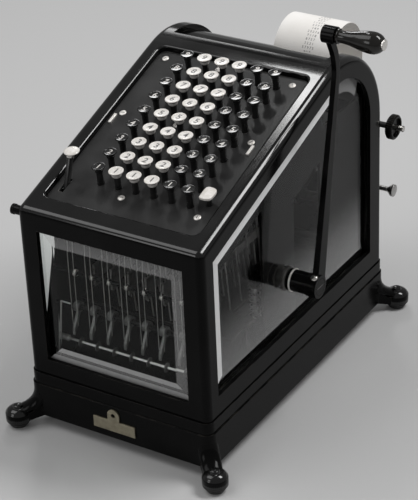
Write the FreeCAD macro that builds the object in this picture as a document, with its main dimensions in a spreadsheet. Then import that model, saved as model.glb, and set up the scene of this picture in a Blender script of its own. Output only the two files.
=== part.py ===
import FreeCAD, Part
import Sketcher
import math
import os
import re
from FreeCAD import Placement, Rotation, Vector

# Glazed mechanical adding machine with a side crank and a paper carriage at the rear.
# Millimetres. The table is z = 0, x = 0 is the middle of the case, the front looks to -Y.

doc = FreeCAD.newDocument("adding_machine")
dims = doc.addObject("Spreadsheet::Sheet", "dims")

SIZES = [
    # case
    ("case_w", 196.4),
    ("case_d", 339.6),
    ("case_foot", 59),
    ("front_h", 232.5),
    ("slope_angle", 18.1),
    ("crest_r", 85),
    ("wall", 12),
    ("edge_r", 7),
    ("lip_r", 2.5),
    ("fit_gap", 0.35),
    # glass and its openings
    ("front_post", 18.2),
    ("rear_post", 25.6),
    ("sill_h", 20),
    ("rail_drop", 20.6),
    ("window_r", 60),
    ("pane_side", 20.65),
    ("pane_sill", 16.75),
    ("pane_head", 20.2),
    ("glass_set", 4),
    ("glass_t", 5),
    ("glass_lap", 5),
    ("strip_t", 2.5),
    # rear wall
    ("rear_side", 20.7),
    ("rear_open_sill", 31),
    ("rear_open_h", 128),
    ("bar_back", 22.5),
    ("bar_drop", 5.5),
    # base
    ("base_side", 2.3),
    ("base_end", 2.7),
    ("base_foot", 12),
    ("line_h", 46.4),
    ("mould_in", 1.2),
    ("base_top_t", 8),
    ("base_wall", 12),
    ("base_r", 10),
    ("pan_t", 1.5),
    ("toe_out", 9.5),
    ("toe_r", 12.2),
    ("toe_top", 17),
    ("leg_w", 17),
    ("leg_curve", 9),
    ("rubber_h", 5),
    ("pad_r", 8),
    ("foot_hole_r", 2.6),
    # keyboard
    ("rim_side", 16.4),
    ("rim_front", 21),
    ("rim_rear", 114.3),
    ("plate_drop", 5),
    ("plate_t", 3),
    ("ledge", 4),
    ("guide_gap", 14),
    ("guide_t", 2.5),
    ("screw_in_left", 10.4),
    ("screw_in_right", 14),
    ("screw_in_rear", 10),
    ("screw_ahead", 7.84),
    ("screw_r", 3.4),
    ("shank_r", 1.7),
    ("pillar_r", 3.2),
    # keys
    ("key_x", 7),
    ("key_side", 49.3),
    ("key_ends", 30.24),
    ("key_slope", 17.5),
    ("key_tilt", 7),
    ("key_back", 5.85),
    ("key_rise", 13.44),
    ("white_gap", 2.525),
    ("dark_gap", 3.125),
    ("cap_h", 2.2),
    ("ring_h", 2.8),
    ("ring_in", 1.9),
    ("sleeve_r", 3),
    ("sleeve_end", 25.5),
    ("wire_r", 0.8),
    ("comb_z", 105),
    ("comb_t", 3),
    # lever and side key
    ("total_in", 9.8),
    ("total_back", 20.8),
    ("total_lean", 18.6),
    ("total_len", 42),
    ("repeat_out", 15.78),
    ("repeat_back", 7.46),
    ("repeat_rise", 8.18),
    ("repeat_r", 6.4),
    ("repeat_half", 2.85),
    # crank
    ("crank_y", 18.4),
    ("crank_z", 132.2),
    ("shaft_r", 7),
    ("bush_r", 11),
    ("hub_r", 10.5),
    ("hub_in", 0.2),
    ("hub_len", 24),
    ("eye_in", 3),
    ("eye_out", 8),
    ("eye_rim", 0.8),
    ("set_turn", 20),
    ("arm_t", 6.5),
    ("arm_w", 14),
    ("neck_t", 5),
    ("neck_w", 7),
    ("neck_reach", 18),
    ("arm_back", 4.5),
    ("arm_lean", 44.4),
    ("arm_rise", 209.8),
    ("boss_ahead", 16.5),
    ("boss_rise", 32),
    ("boss_r", 8),
    ("boss_out", 12),
    ("grip_len", 44.5),
    ("grip_r", 10),
    ("spindle_r", 3.5),
    # frame of the mechanism
    ("plate_in", 16.2),
    ("side_t", 3),
    ("unit_in", 31.8),
    ("pin_z", 159),
    ("pawl_z", 123),
    ("wheel_z", 84),
    ("wheel_r", 6),
    ("sector_in", 79.8),
    ("sector_z", 160),
    ("sector_t", 2.4),
    ("sector_shaft_r", 5),
    # dash pot
    ("dash_in", 14),
    ("dash_reach", 18),
    ("dash_r", 9.5),
    ("dash_h", 33),
    ("rod_r", 2.5),
    ("spring_r", 5),
    ("spring_wire", 0.6),
    # carriage
    ("platen_out", 18.2),
    ("platen_z", 201.5),
    ("platen_r", 15),
    ("platen_in", 4),
    ("axle_r", 4),
    ("tail_r", 3),
    ("knob_out", 11.5),
    ("knob_r", 12.7),
    ("knob_t", 7.5),
    ("paper_x", 5),
    ("paper_w", 64),
    ("paper_t", 0.6),
    ("arch_r", 36),
    ("arch_z", 255),
    ("roll_back", 22),
    ("roll_z", 230),
    ("roll_r", 19),
    ("spindle_rr", 5),
    ("bracket_in", 20),
    ("bracket_t", 4),
    ("clamp_out", 30.2),
    ("clamp_z", 123),
    ("spool_out", 35.2),
    ("spool_z", 160),
    ("spool_r", 15),
]
TAN = "tan(slope_angle * 1deg)"
FITTED = [
    ("pane_w", "case_w - 2 * pane_side"),
    ("rear_open_w", "case_w - 2 * rear_side"),
    ("base_w", "case_w + 2 * base_side"),
    ("base_d", "case_d + 2 * base_end"),
    ("foot_x", "base_w / 2 + toe_out"),
    ("foot_y", "base_d / 2 + toe_out"),
    ("open_w", "case_w - 2 * rim_side"),
    ("open_front", "case_d / 2 - rim_front"),
    ("open_rear", "case_d / 2 - rim_rear"),
    ("bar_front", "open_rear + bar_back"),
    ("col_pitch", "(open_w - key_side) / 6"),
    ("row_pitch", "(open_front + open_rear - key_ends) / 9"),
    ("key_room", "min(col_pitch; row_pitch) / 2"),
    ("white_r", "key_room - white_gap"),
    ("dark_r", "key_room - dark_gap"),
    ("mid_row_y", "(open_front - open_rear) / 2 - key_back"),
    ("mid_row_z", "front_h + %s * (case_d / 2 - mid_row_y) + key_rise" % TAN),
    ("first_row_y", "mid_row_y + 4 * row_pitch"),
    ("screw_left", "open_w / 2 - screw_in_left"),
    ("screw_mid", "col_pitch - key_x"),
    ("screw_right", "open_w / 2 - screw_in_right"),
    ("screw_rear_y", "open_rear - screw_in_rear"),
    ("screw_mid_y", "mid_row_y - row_pitch / 2"),
    ("screw_front_y", "first_row_y + screw_ahead"),
    ("total_x", "open_w / 2 - total_in"),
    ("total_y", "open_front - total_back"),
    ("repeat_x", "key_x + 2.5 * col_pitch + repeat_out"),
    ("repeat_y", "first_row_y - repeat_back"),
    ("repeat_z", "front_h + %s * (case_d / 2 - repeat_y) + repeat_rise" % TAN),
    ("hub_x", "case_w / 2 - hub_in"),
    ("arm_x", "hub_x + hub_len"),
    ("bend_y", "arm_lean - crank_y"),
    ("bend_z", "crank_z + arm_rise"),
    ("boss_y", "bend_y - boss_ahead"),
    ("boss_z", "bend_z + boss_rise"),
    ("plate_x", "case_w / 2 - plate_in"),
    ("unit_y", "case_d / 2 - unit_in"),
    ("sector_y", "case_d / 2 - sector_in"),
    ("dash_x", "plate_x - dash_in"),
    ("platen_y", "case_d / 2 + platen_out"),
    ("bracket_x", "plate_x - bracket_in"),
    ("platen_len", "2 * (bracket_x - platen_in)"),
    ("roll_y", "platen_y + roll_back"),
    ("clamp_y", "case_d / 2 + clamp_out"),
    ("spool_y", "case_d / 2 + spool_out"),
]
COLUMNS = 6
ROWS = 9
WHITE_COLUMNS = (1, 2, 3)
SECTIONS = 7
SPRING_TURNS = 6

for line, (alias, number) in enumerate(SIZES, 1):
    dims.set("A%d" % line, alias)
    dims.set("B%d" % line, str(number))
    dims.setAlias("B%d" % line, alias)
for line, (alias, rule) in enumerate(FITTED, len(SIZES) + 2):
    dims.set("A%d" % line, alias)
    dims.set("B%d" % line, "=" + rule)
    dims.setAlias("B%d" % line, alias)
doc.recompute()

ALIASES = {alias for alias, value in SIZES + FITTED}
X_AXIS = Vector(1, 0, 0)
Y_AXIS = Vector(0, 1, 0)
Z_AXIS = Vector(0, 0, 1)
FAR = 400

SIN = "sin(slope_angle * 1deg)"
COS = "cos(slope_angle * 1deg)"
TILT_SIN = "sin(key_tilt * 1deg)"
TILT_COS = "cos(key_tilt * 1deg)"
REAR = "(case_d / 2)"
CREST_Y = "(case_d / 2 - crest_r)"
CREST_Z = "(front_h + %s * (case_d - crest_r) - crest_r / %s)" % (TAN, COS)

nodes = {}


def size(alias):
    return float(getattr(dims, alias))


def formula(text):
    def prefixed(match):
        word = match.group(0)
        return "dims." + word if word in ALIASES else word

    return re.sub(r"[A-Za-z_][A-Za-z_0-9]*", prefixed, str(text))


def bind(thing, prop, text):
    thing.setExpression(prop, formula(text))


def place(thing, x, y, z):
    bind(thing, "Placement.Base.x", x)
    bind(thing, "Placement.Base.y", y)
    bind(thing, "Placement.Base.z", z)


def turn(thing, axis, angle_text):
    thing.Placement = Placement(Vector(0, 0, 0), Rotation(axis, 30))
    bind(thing, "Placement.Rotation.Angle", "(%s) * 1deg" % angle_text)


def box(name, x0, x1, y0, y1, z0, z1):
    block = doc.addObject("Part::Box", name)
    bind(block, "Length", "(%s) - (%s)" % (x1, x0))
    bind(block, "Width", "(%s) - (%s)" % (y1, y0))
    bind(block, "Height", "(%s) - (%s)" % (z1, z0))
    place(block, x0, y0, z0)
    return block


def wedge(name, x0, x1, y0, y1, front_low, front_high, rear_low, rear_high):
    slab = doc.addObject("Part::Wedge", name)
    for prop in ("Xmin", "X2min"):
        bind(slab, prop, x0)
    for prop in ("Xmax", "X2max"):
        bind(slab, prop, x1)
    bind(slab, "Ymin", y0)
    bind(slab, "Ymax", y1)
    bind(slab, "Zmin", front_low)
    bind(slab, "Zmax", front_high)
    bind(slab, "Z2min", rear_low)
    bind(slab, "Z2max", rear_high)
    return slab


def post(name, x, y, z0, z1, radius):
    column = doc.addObject("Part::Cylinder", name)
    bind(column, "Radius", radius)
    bind(column, "Height", "(%s) - (%s)" % (z1, z0))
    place(column, x, y, z0)
    return column


def rod(name, x0, x1, y, z, radius):
    bar = doc.addObject("Part::Cylinder", name)
    bar.Placement = Placement(Vector(0, 0, 0), Rotation(Y_AXIS, 90))
    bind(bar, "Radius", radius)
    bind(bar, "Height", "(%s) - (%s)" % (x1, x0))
    place(bar, x0, y, z)
    return bar


def leaning(name, x, y, z, radius, length, angle):
    bar = doc.addObject("Part::Cylinder", name)
    turn(bar, X_AXIS, angle)
    bind(bar, "Radius", radius)
    bind(bar, "Height", length)
    place(bar, x, y, z)
    return bar


def fuse(name, shapes):
    joined = doc.addObject("Part::MultiFuse", name)
    joined.Shapes = shapes
    joined.Refine = True
    return joined


def cut(name, base, tools):
    tool = tools[0] if len(tools) == 1 else fuse(name + "_tools", tools)
    rest = doc.addObject("Part::Cut", name)
    rest.Base = base
    rest.Tool = tool
    rest.Refine = True
    return rest


def group(name, shapes):
    several = doc.addObject("Part::Compound", name)
    several.Links = shapes
    return several


def rounded(name, base, radius, wanted):
    doc.recompute()
    chosen = [n for n, edge in enumerate(base.Shape.Edges, 1) if wanted(edge)]
    smooth = doc.addObject("Part::Fillet", name)
    smooth.Base = base
    smooth.Edges = [(n, radius, radius) for n in chosen]
    return smooth


def node(label, thing):
    thing.Label = label
    nodes[label] = thing
    return thing


def along(edge, axis):
    ends = [vertex.Point for vertex in edge.Vertexes]
    if len(ends) != 2:
        return False
    way = ends[1] - ends[0]
    return way.Length > 1e-6 and abs(abs(way.dot(axis)) - way.Length) < 1e-6


def round_rear_top(name, base, radius):
    doc.recompute()
    crest = base.Shape.BoundBox.ZMax
    return rounded(name, base, radius, lambda e: along(e, X_AXIS) and e.BoundBox.ZMin > crest - 1e-4)


def top(y):
    return "(front_h + %s * (case_d / 2 + (%s)))" % (TAN, y)


def slope_slab(name, x0, x1, y0, y1, low, high):
    return wedge(
        name, x0, x1, y0, y1,
        "%s - (%s)" % (top(y0), low), "%s - (%s)" % (top(y0), high),
        "%s - (%s)" % (top(y1), low), "%s - (%s)" % (top(y1), high),
    )


def column_x(column):
    return "(key_x + %s * col_pitch)" % (column - (COLUMNS - 1) / 2)


# Case casting

def side_shape(name, x0, x1, front, rear, low, drop):
    return wedge(
        name, x0, x1, "-%s + %s" % (REAR, front), "%s - (%s)" % (REAR, rear),
        low, "%s - (%s)" % (top("-case_d / 2 + " + front), drop),
        low, "%s - (%s)" % (top("case_d / 2 - (%s)" % rear), drop),
    )


def outer_edge(edge):
    bounds = edge.BoundBox
    if bounds.ZMax < size("case_foot") + 1e-4:
        return False
    if along(edge, X_AXIS):
        return bounds.YMax < -size("case_d") / 2 + 1e-4
    return True


shell_block = wedge(
    "shell_block", "-case_w / 2", "case_w / 2", "-case_d / 2", "case_d / 2",
    "case_foot", "front_h", "case_foot", top("case_d / 2"),
)
shell_crest = round_rear_top("shell_crest", shell_block, size("crest_r"))
shell = rounded("shell", shell_crest, size("edge_r"), outer_edge)

cavity_block = side_shape(
    "cavity_block", "-case_w / 2 + wall", "case_w / 2 - wall", "wall", "wall",
    "case_foot - 5", "wall / " + COS,
)
cavity = round_rear_top("cavity", cavity_block, size("crest_r") - size("wall"))

side_block = side_shape(
    "side_block", "-case_w / 2 - 5", "case_w / 2 + 5", "front_post", "rear_post",
    "case_foot + sill_h", "rail_drop",
)
side_window = round_rear_top("side_window", side_block, size("window_r"))


def side_pane(name, side, near, far, slack):
    near_x = "%d * (case_w / 2 - (%s))" % (side, near)
    far_x = "%d * (case_w / 2 - (%s))" % (side, far)
    low_x, high_x = (near_x, far_x) if side < 0 else (far_x, near_x)
    lap = "glass_lap - (%s)" % slack
    block = side_shape(
        name + "_block", low_x, high_x, "front_post - (%s)" % lap, "rear_post - (%s)" % lap,
        "case_foot + sill_h - (%s)" % lap, "rail_drop - (%s)" % lap,
    )
    return round_rear_top(name, block, size("window_r") + size("glass_lap"))


def front_pane(name, near, far, slack):
    lap = "glass_lap - (%s)" % slack
    return box(
        name, "-pane_w / 2 - (%s)" % lap, "pane_w / 2 + %s" % lap,
        "-case_d / 2 + %s" % near, "-case_d / 2 + %s" % far,
        "case_foot + pane_sill - (%s)" % lap, "front_h - pane_head + %s" % lap,
    )


front_window = box(
    "front_window", "-pane_w / 2", "pane_w / 2", "-case_d / 2 - 5", "-case_d / 2 + wall + 1",
    "case_foot + pane_sill", "front_h - pane_head",
)
front_rebate = front_pane("front_rebate", "glass_set", "wall + 1", "0")
left_rebate = side_pane("left_rebate", -1, "glass_set", "wall + 1", "0")
right_rebate = side_pane("right_rebate", 1, "glass_set", "wall + 1", "0")
rear_window = box(
    "rear_window", "-rear_open_w / 2", "rear_open_w / 2", "case_d / 2 - wall - 1", "case_d / 2 + 5",
    "case_foot + rear_open_sill", "case_foot + rear_open_sill + rear_open_h",
)

well_block = slope_slab(
    "well_block", "-open_w / 2", "open_w / 2", "-open_front", "open_rear",
    "plate_drop + plate_t", "-40",
)
well = rounded("well", well_block, size("edge_r"), lambda e: along(e, Z_AXIS))
well_floor = slope_slab(
    "well_floor", "-open_w / 2 + ledge", "open_w / 2 - ledge", "-open_front + ledge", "open_rear - ledge",
    "40", "0",
)
bar_space = box(
    "bar_space", "-open_w / 2", "open_w / 2", "bar_front", "case_d / 2 + 5", CREST_Z, FAR,
)
bar_round = rod("bar_round", "-open_w / 2 - 1", "open_w / 2 + 1", CREST_Y, CREST_Z, "crest_r - bar_drop")
bar_recess = cut("bar_recess", bar_space, [bar_round])
peg_hole = rod("peg_hole", "-case_w / 2 - 2", "-case_w / 2 + 8", "-case_d / 2 + 7", "front_h - 7", 4.5)

case_block = cut(
    "case_block", shell,
    [cavity, side_window, front_window, front_rebate, left_rebate, right_rebate, rear_window,
     well, well_floor, bar_recess, peg_hole],
)


def well_lip(edge):
    bounds = edge.BoundBox
    if bounds.XMax > size("open_w") / 2 + 0.01 or bounds.XMin < -size("open_w") / 2 - 0.01:
        return False
    if bounds.YMin < -size("open_front") - 0.01 or bounds.YMax > size("open_rear") + 0.01:
        return False
    slope = math.tan(math.radians(size("slope_angle")))
    for vertex in edge.Vertexes:
        level = size("front_h") + slope * (size("case_d") / 2 + vertex.Y)
        if abs(vertex.Z - level) > 0.01:
            return False
    return True


case_frame = rounded("case_frame", case_block, size("lip_r"), well_lip)
node("case_frame", case_frame)

peg_pin = rod("peg_pin", "-case_w / 2 - 6", "-case_w / 2 + 8", "-case_d / 2 + 7", "front_h - 7", 4.5)
peg_head = rod("peg_head", "-case_w / 2 - 8.5", "-case_w / 2 - 6", "-case_d / 2 + 7", "front_h - 7", 5)
node("side_peg", fuse("side_peg", [peg_pin, peg_head]))

# Glass and the strips that hold it

GLASS_BACK = "glass_set + glass_t"
STRIP_BACK = "glass_set + glass_t + strip_t"

node("front_glass", front_pane("front_glass", "glass_set", GLASS_BACK, "fit_gap"))
node("left_glass", side_pane("left_glass", -1, "glass_set", GLASS_BACK, "fit_gap"))
right_sheet = side_pane("right_sheet", 1, "glass_set", GLASS_BACK, "fit_gap")
shaft_hole = rod(
    "shaft_hole", "case_w / 2 - 20", "case_w / 2 + 20", "-crank_y", "crank_z", "bush_r + fit_gap",
)
node("right_glass", cut("right_glass", right_sheet, [shaft_hole]))


front_strip_out = front_pane("front_strip_out", GLASS_BACK, STRIP_BACK, "fit_gap")
front_strip_in = front_pane("front_strip_in", "glass_set", "wall + 1", "glass_lap")
front_strip = cut("front_strip", front_strip_out, [front_strip_in])
side_strips = []
for side, word in ((-1, "left"), (1, "right")):
    strip_out = side_pane(word + "_strip_out", side, GLASS_BACK, STRIP_BACK, "fit_gap")
    strip_in = side_pane(word + "_strip_in", side, "glass_set", "wall + 1", "glass_lap")
    side_strips.append(cut(word + "_strip", strip_out, [strip_in]))
node("glass_strips", group("glass_strips", [front_strip] + side_strips))

node("rear_panel", box(
    "rear_panel", "-rear_open_w / 2 - 4", "rear_open_w / 2 + 4", "case_d / 2 - wall - 2", "case_d / 2 - wall",
    "case_foot + rear_open_sill - 5", "case_foot + rear_open_sill + 60",
))

# Base casting, feet, pan and lock plate

low_block = box("low_block", "-base_w / 2", "base_w / 2", "-base_d / 2", "base_d / 2", "base_foot", "line_h")
high_block = box(
    "high_block", "-base_w / 2 + mould_in", "base_w / 2 - mould_in",
    "-base_d / 2 + mould_in", "base_d / 2 - mould_in", "line_h", "case_foot",
)
base_low = rounded("base_low", low_block, size("base_r"), lambda e: along(e, Z_AXIS))
base_high = rounded("base_high", high_block, size("base_r") - size("mould_in"), lambda e: along(e, Z_AXIS))


def leg_piece(name, side, end):
    # The leg runs along its own y axis, from the middle of the toe to the corner of the base.
    corner = "((toe_out + base_r) * sqrt(2) - base_r)"
    low = "(toe_top - 1)"
    high = low + " + leg_curve"
    block = wedge(
        name + "_block", "-leg_w / 2", "leg_w / 2", 0, 30, "rubber_h", high, "base_foot", high,
    )
    hollow = rod(name + "_hollow", "-leg_w", "leg_w", corner + " - leg_curve", high, "leg_curve")
    room = box(name + "_room", "-leg_w", "leg_w", -5, corner + " - leg_curve", low, high + " + 5")
    leg = cut(name, block, [hollow, room])
    leg.Placement = Placement(Vector(0, 0, 0), Rotation(Z_AXIS, math.degrees(math.atan2(side, -end))))
    place(leg, "%d * foot_x" % side, "%d * foot_y" % end, 0)
    return leg


toes = []
foot_holes = []
feet = []
for side in (-1, 1):
    for end in (-1, 1):
        tag = "%s_%s" % ("left" if side < 0 else "right", "front" if end < 0 else "rear")
        at_x = "%d * foot_x" % side
        at_y = "%d * foot_y" % end
        toe = post("toe_plain_" + tag, at_x, at_y, "rubber_h", "toe_top", "toe_r")
        toes.append(rounded("toe_" + tag, toe, 3.2, lambda e: len(e.Vertexes) == 1))
        toes.append(leg_piece("leg_" + tag, side, end))
        foot_holes.append(post("foot_hole_" + tag, at_x, at_y, -1, "rubber_h + 8", "foot_hole_r"))
        disc = doc.addObject("Part::Cone", "disc_" + tag)
        bind(disc, "Radius1", "pad_r")
        bind(disc, "Radius2", "toe_r - 1")
        bind(disc, "Height", "rubber_h")
        place(disc, at_x, at_y, 0)
        bore = post("disc_hole_" + tag, at_x, at_y, -1, "rubber_h + 1", "foot_hole_r")
        feet.append(cut("foot_" + tag, disc, [bore]))
hollow = box(
    "hollow", "-base_w / 2 + base_wall", "base_w / 2 - base_wall",
    "-base_d / 2 + base_wall", "base_d / 2 - base_wall", 0, "case_foot - base_top_t",
)
pan_seat = box(
    "pan_seat", "-base_w / 2 + base_wall - 4", "base_w / 2 - base_wall + 4",
    "-base_d / 2 + base_wall - 4", "base_d / 2 - base_wall + 4", 0, "base_foot + 2.5",
)
base_body = fuse("base_body", [base_low, base_high] + toes)
node("base_casting", cut("base_casting", base_body, [hollow, pan_seat] + foot_holes))
node("rubber_feet", group("rubber_feet", feet))
node("base_pan", box(
    "base_pan", "-base_w / 2 + base_wall - 4 + fit_gap", "base_w / 2 - base_wall + 4 - fit_gap",
    "-base_d / 2 + base_wall - 4 + fit_gap", "base_d / 2 - base_wall + 4 - fit_gap",
    "base_foot + 2.5 - pan_t", "base_foot + 2.5",
))

lock_low = box("lock_low", -27, 19, "-base_d / 2 - 1.6", "-base_d / 2", "base_foot + 8.5", "base_foot + 20")
lock_tab = box("lock_tab", -11, 2, "-base_d / 2 - 1.6", "-base_d / 2", "base_foot + 19", "base_foot + 26")
lock_tip = doc.addObject("Part::Cylinder", "lock_tip")
lock_tip.Placement = Placement(Vector(0, 0, 0), Rotation(X_AXIS, 90))
bind(lock_tip, "Radius", 6.5)
bind(lock_tip, "Height", 1.6)
place(lock_tip, -4.5, "-base_d / 2", "base_foot + 26")
lock_eye = doc.addObject("Part::Cylinder", "lock_eye")
lock_eye.Placement = Placement(Vector(0, 0, 0), Rotation(X_AXIS, 90))
bind(lock_eye, "Radius", 2.2)
bind(lock_eye, "Height", 10)
place(lock_eye, -4.5, "-base_d / 2 + 4", "base_foot + 26")
node("lock_plate", cut("lock_plate", fuse("lock_sheet", [lock_low, lock_tab, lock_tip]), [lock_eye]))

# Key plate, guide plate and comb

PLATE_PERP = "plate_t * " + COS
GAP_PERP = "guide_gap * " + COS


def on_plate(name, x, y, low, high, radius):
    start_y = "%s + %s * (%s)" % (y, SIN, low)
    start_z = "%s - plate_drop - %s * (%s)" % (top(y), COS, low)
    return leaning(name, x, start_y, start_z, radius, "(%s) - (%s)" % (low, high), "slope_angle")


SCREW_SPOTS = [
    ("-screw_left", "screw_rear_y"), ("-screw_mid", "screw_rear_y"), ("screw_right", "screw_rear_y"),
    ("-screw_left", "-screw_mid_y"), ("-screw_mid", "-screw_mid_y"), ("screw_right", "-screw_mid_y"),
    ("-screw_mid", "-screw_front_y"), ("screw_right", "-screw_front_y"),
]

screws = []
pillars = []
screw_bores = []
for n, (x, y) in enumerate(SCREW_SPOTS, 1):
    head = on_plate("screw_head_%d" % n, x, y, "0", "-1.6", "screw_r")
    shank = on_plate("screw_shank_%d" % n, x, y, PLATE_PERP + " + 6", "0", "shank_r")
    screws.append(fuse("screw_%d" % n, [head, shank]))
    column = on_plate("pillar_out_%d" % n, x, y, PLATE_PERP + " + " + GAP_PERP, PLATE_PERP, "pillar_r")
    thread = on_plate("pillar_in_%d" % n, x, y, PLATE_PERP + " + 6", PLATE_PERP + " - 1", "shank_r")
    pillars.append(cut("pillar_%d" % n, column, [thread]))
    screw_bores.append(on_plate("screw_bore_%d" % n, x, y, PLATE_PERP + " + 2", "-2", "shank_r + fit_gap"))
node("key_plate_screws", group("key_plate_screws", screws))
node("plate_pillars", group("plate_pillars", pillars))


def row_y(row):
    return "(-mid_row_y + %d * row_pitch)" % (row - 5)


def row_z(row):
    return "(mid_row_z + %d * row_pitch * tan(key_slope * 1deg))" % (row - 5)


def key_piece(name, x, y, z, near, far, radius):
    low_y = "%s + %s * (%s)" % (y, TILT_SIN, far)
    low_z = "%s - %s * (%s)" % (z, TILT_COS, far)
    return leaning(name, x, low_y, low_z, radius, "(%s) - (%s)" % (far, near), "key_tilt")


def depth_to(z, level):
    return "(%s - (%s)) / %s" % (z, level, TILT_COS)


stem_bores = []
wire_bores = []
for row in range(1, ROWS + 1):
    keys = []
    for column in range(COLUMNS):
        tag = "%d_%d" % (row, column + 1)
        x, y, z = column_x(column), row_y(row), row_z(row)
        cap_r = "white_r" if column in WHITE_COLUMNS else "dark_r"
        neck = "cap_h + ring_h"
        cap = key_piece("cap_" + tag, x, y, z, 0, "cap_h", cap_r)
        ring = key_piece("ring_" + tag, x, y, z, "cap_h", neck, cap_r + " - ring_in")
        keys.append(fuse("key_top_" + tag, [cap, ring]))
        sleeve = key_piece("sleeve_" + tag, x, y, z, neck, "sleeve_end", "sleeve_r")
        wire = key_piece("wire_" + tag, x, y, z, "sleeve_end", depth_to(z, "comb_z - 2"), "wire_r")
        keys.append(fuse("stem_" + tag, [sleeve, wire]))
        stem_bores.append(key_piece("stem_bore_" + tag, x, y, z, 12, 27, "sleeve_r + fit_gap"))
        wire_bores.append(
            key_piece("wire_bore_" + tag, x, y, z, 29, depth_to(z, "comb_z - 8"), "wire_r + fit_gap")
        )
    node("key_row_%d" % row, group("key_row_%d" % row, keys))

# Total lever at the left and repeat key at the right

TOTAL_Z = "(%s - plate_drop - plate_t - 6)" % top("-total_y")
lever_slot = box(
    "lever_slot", "-total_x - 2.6", "-total_x + 2.6", "-total_y - 8", "-total_y + 9",
    TOTAL_Z, TOTAL_Z + " + 40",
)
lever_bar = doc.addObject("Part::Box", "lever_bar")
turn(lever_bar, X_AXIS, "-total_lean")
bind(lever_bar, "Length", 4)
bind(lever_bar, "Width", 6)
bind(lever_bar, "Height", "total_len - 3")
place(
    lever_bar, "-total_x - 2",
    "-total_y - 3 * cos(total_lean * 1deg)", TOTAL_Z + " + 3 * sin(total_lean * 1deg)",
)
lever_hub = rod("lever_hub", "-total_x - 2", "-total_x + 2", "-total_y", TOTAL_Z, 4.5)
lever_bore = rod("lever_bore", "-total_x - 5", "-total_x + 5", "-total_y", TOTAL_Z, 1.56)
LEVER_TOP_Y = "(-total_y + total_len * sin(total_lean * 1deg))"
LEVER_TOP_Z = "(%s + total_len * cos(total_lean * 1deg))" % TOTAL_Z
lever_cap_plain = leaning(
    "lever_cap_plain", "-total_x", LEVER_TOP_Y, LEVER_TOP_Z + " - 4", 7.5, 4, "key_tilt",
)
lever_arm = cut("lever_arm", fuse("lever_blank", [lever_bar, lever_hub]), [lever_bore])
lever_cap_seat = leaning("lever_cap_seat", "-total_x", LEVER_TOP_Y, LEVER_TOP_Z + " - 4", 7.5, 40, "key_tilt")
lever_trim = cut("lever_trim", lever_arm, [lever_cap_seat])
node("total_lever", group("total_lever", [lever_trim, lever_cap_plain]))

repeat_cap = []
for n, shift in enumerate(("-repeat_half", "0", "repeat_half")):
    repeat_cap.append(key_piece(
        "repeat_leaf_%d" % n, "repeat_x", "-repeat_y + " + shift,
        "repeat_z + (%s) * tan(key_tilt * 1deg)" % shift, 0, 2.4, "repeat_r",
    ))
repeat_stem = key_piece("repeat_stem", "repeat_x", "-repeat_y", "repeat_z", 1, 40, 2.5)
node("repeat_key", fuse("repeat_key", repeat_cap + [repeat_stem]))
repeat_bore = key_piece("repeat_bore", "repeat_x", "-repeat_y", "repeat_z", 8, 60, "2.5 + fit_gap")

slots = []
for word, x in (("left", "-screw_left - 5.3"), ("right", "screw_right + 4.5")):
    slots.append(slope_slab(
        "slot_" + word, x + " - 1.2", x + " + 1.2", "-screw_mid_y - 15", "-screw_mid_y - 4",
        "plate_drop + 1.2", "plate_drop - 5",
    ))

plate_block = slope_slab(
    "plate_block", "-open_w / 2 + fit_gap", "open_w / 2 - fit_gap",
    "-open_front + fit_gap", "open_rear - fit_gap", "plate_drop + plate_t", "plate_drop",
)
plate_sheet = rounded("plate_sheet", plate_block, size("edge_r"), lambda e: along(e, Z_AXIS))
node("key_plate", cut(
    "key_plate", plate_sheet, stem_bores + screw_bores + slots + [lever_slot, repeat_bore],
))

GUIDE_TOP = "(plate_drop + plate_t + guide_gap)"
guide_sheet = slope_slab(
    "guide_sheet", "-open_w / 2 + 5.8", "open_w / 2 - 5.8", "-open_front + 8", "open_rear - 6",
    GUIDE_TOP + " + guide_t", GUIDE_TOP,
)
ear = box(
    "ear", "-total_x - 4", "-total_x - 2.3", "-total_y - 4", "-total_y + 4",
    "%s - plate_drop - plate_t - guide_gap - 1" % top("-total_y"), TOTAL_Z + " + 4",
)
ear_pin = rod("ear_pin", "-total_x - 4", "-total_x + 4", "-total_y", TOTAL_Z, 1.5)
guide_blank = fuse("guide_blank", [guide_sheet, ear, ear_pin])
node("key_guide_plate", cut("key_guide_plate", guide_blank, wire_bores + [repeat_bore]))

DRIVE_Y = "(-crank_y - dash_reach)"
comb_sheet = box(
    "comb_sheet", "-plate_x", "plate_x", "-unit_y + 35", "sector_y - 15", "comb_z", "comb_z + comb_t",
)
comb_notch = box(
    "comb_notch", "dash_x - dash_r - 0.5", "plate_x + 5", DRIVE_Y + " - dash_r - 16", "-crank_y + 20", 0, FAR,
)
node("lower_comb", cut("lower_comb", comb_sheet, [comb_notch] + wire_bores))

# Side plates and fixed shafts of the mechanism

PLATE_FRONT = "(-unit_y - 4)"
PLATE_STEP = "(sector_y - 20)"
PLATE_REAR = "(case_d / 2 - 21.8)"
PLATE_GAPS = [("(-unit_y + 14)", "(-crank_y - 29.6)", 56), ("(-crank_y + 28.4)", "(sector_y - 28)", 92)]


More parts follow.
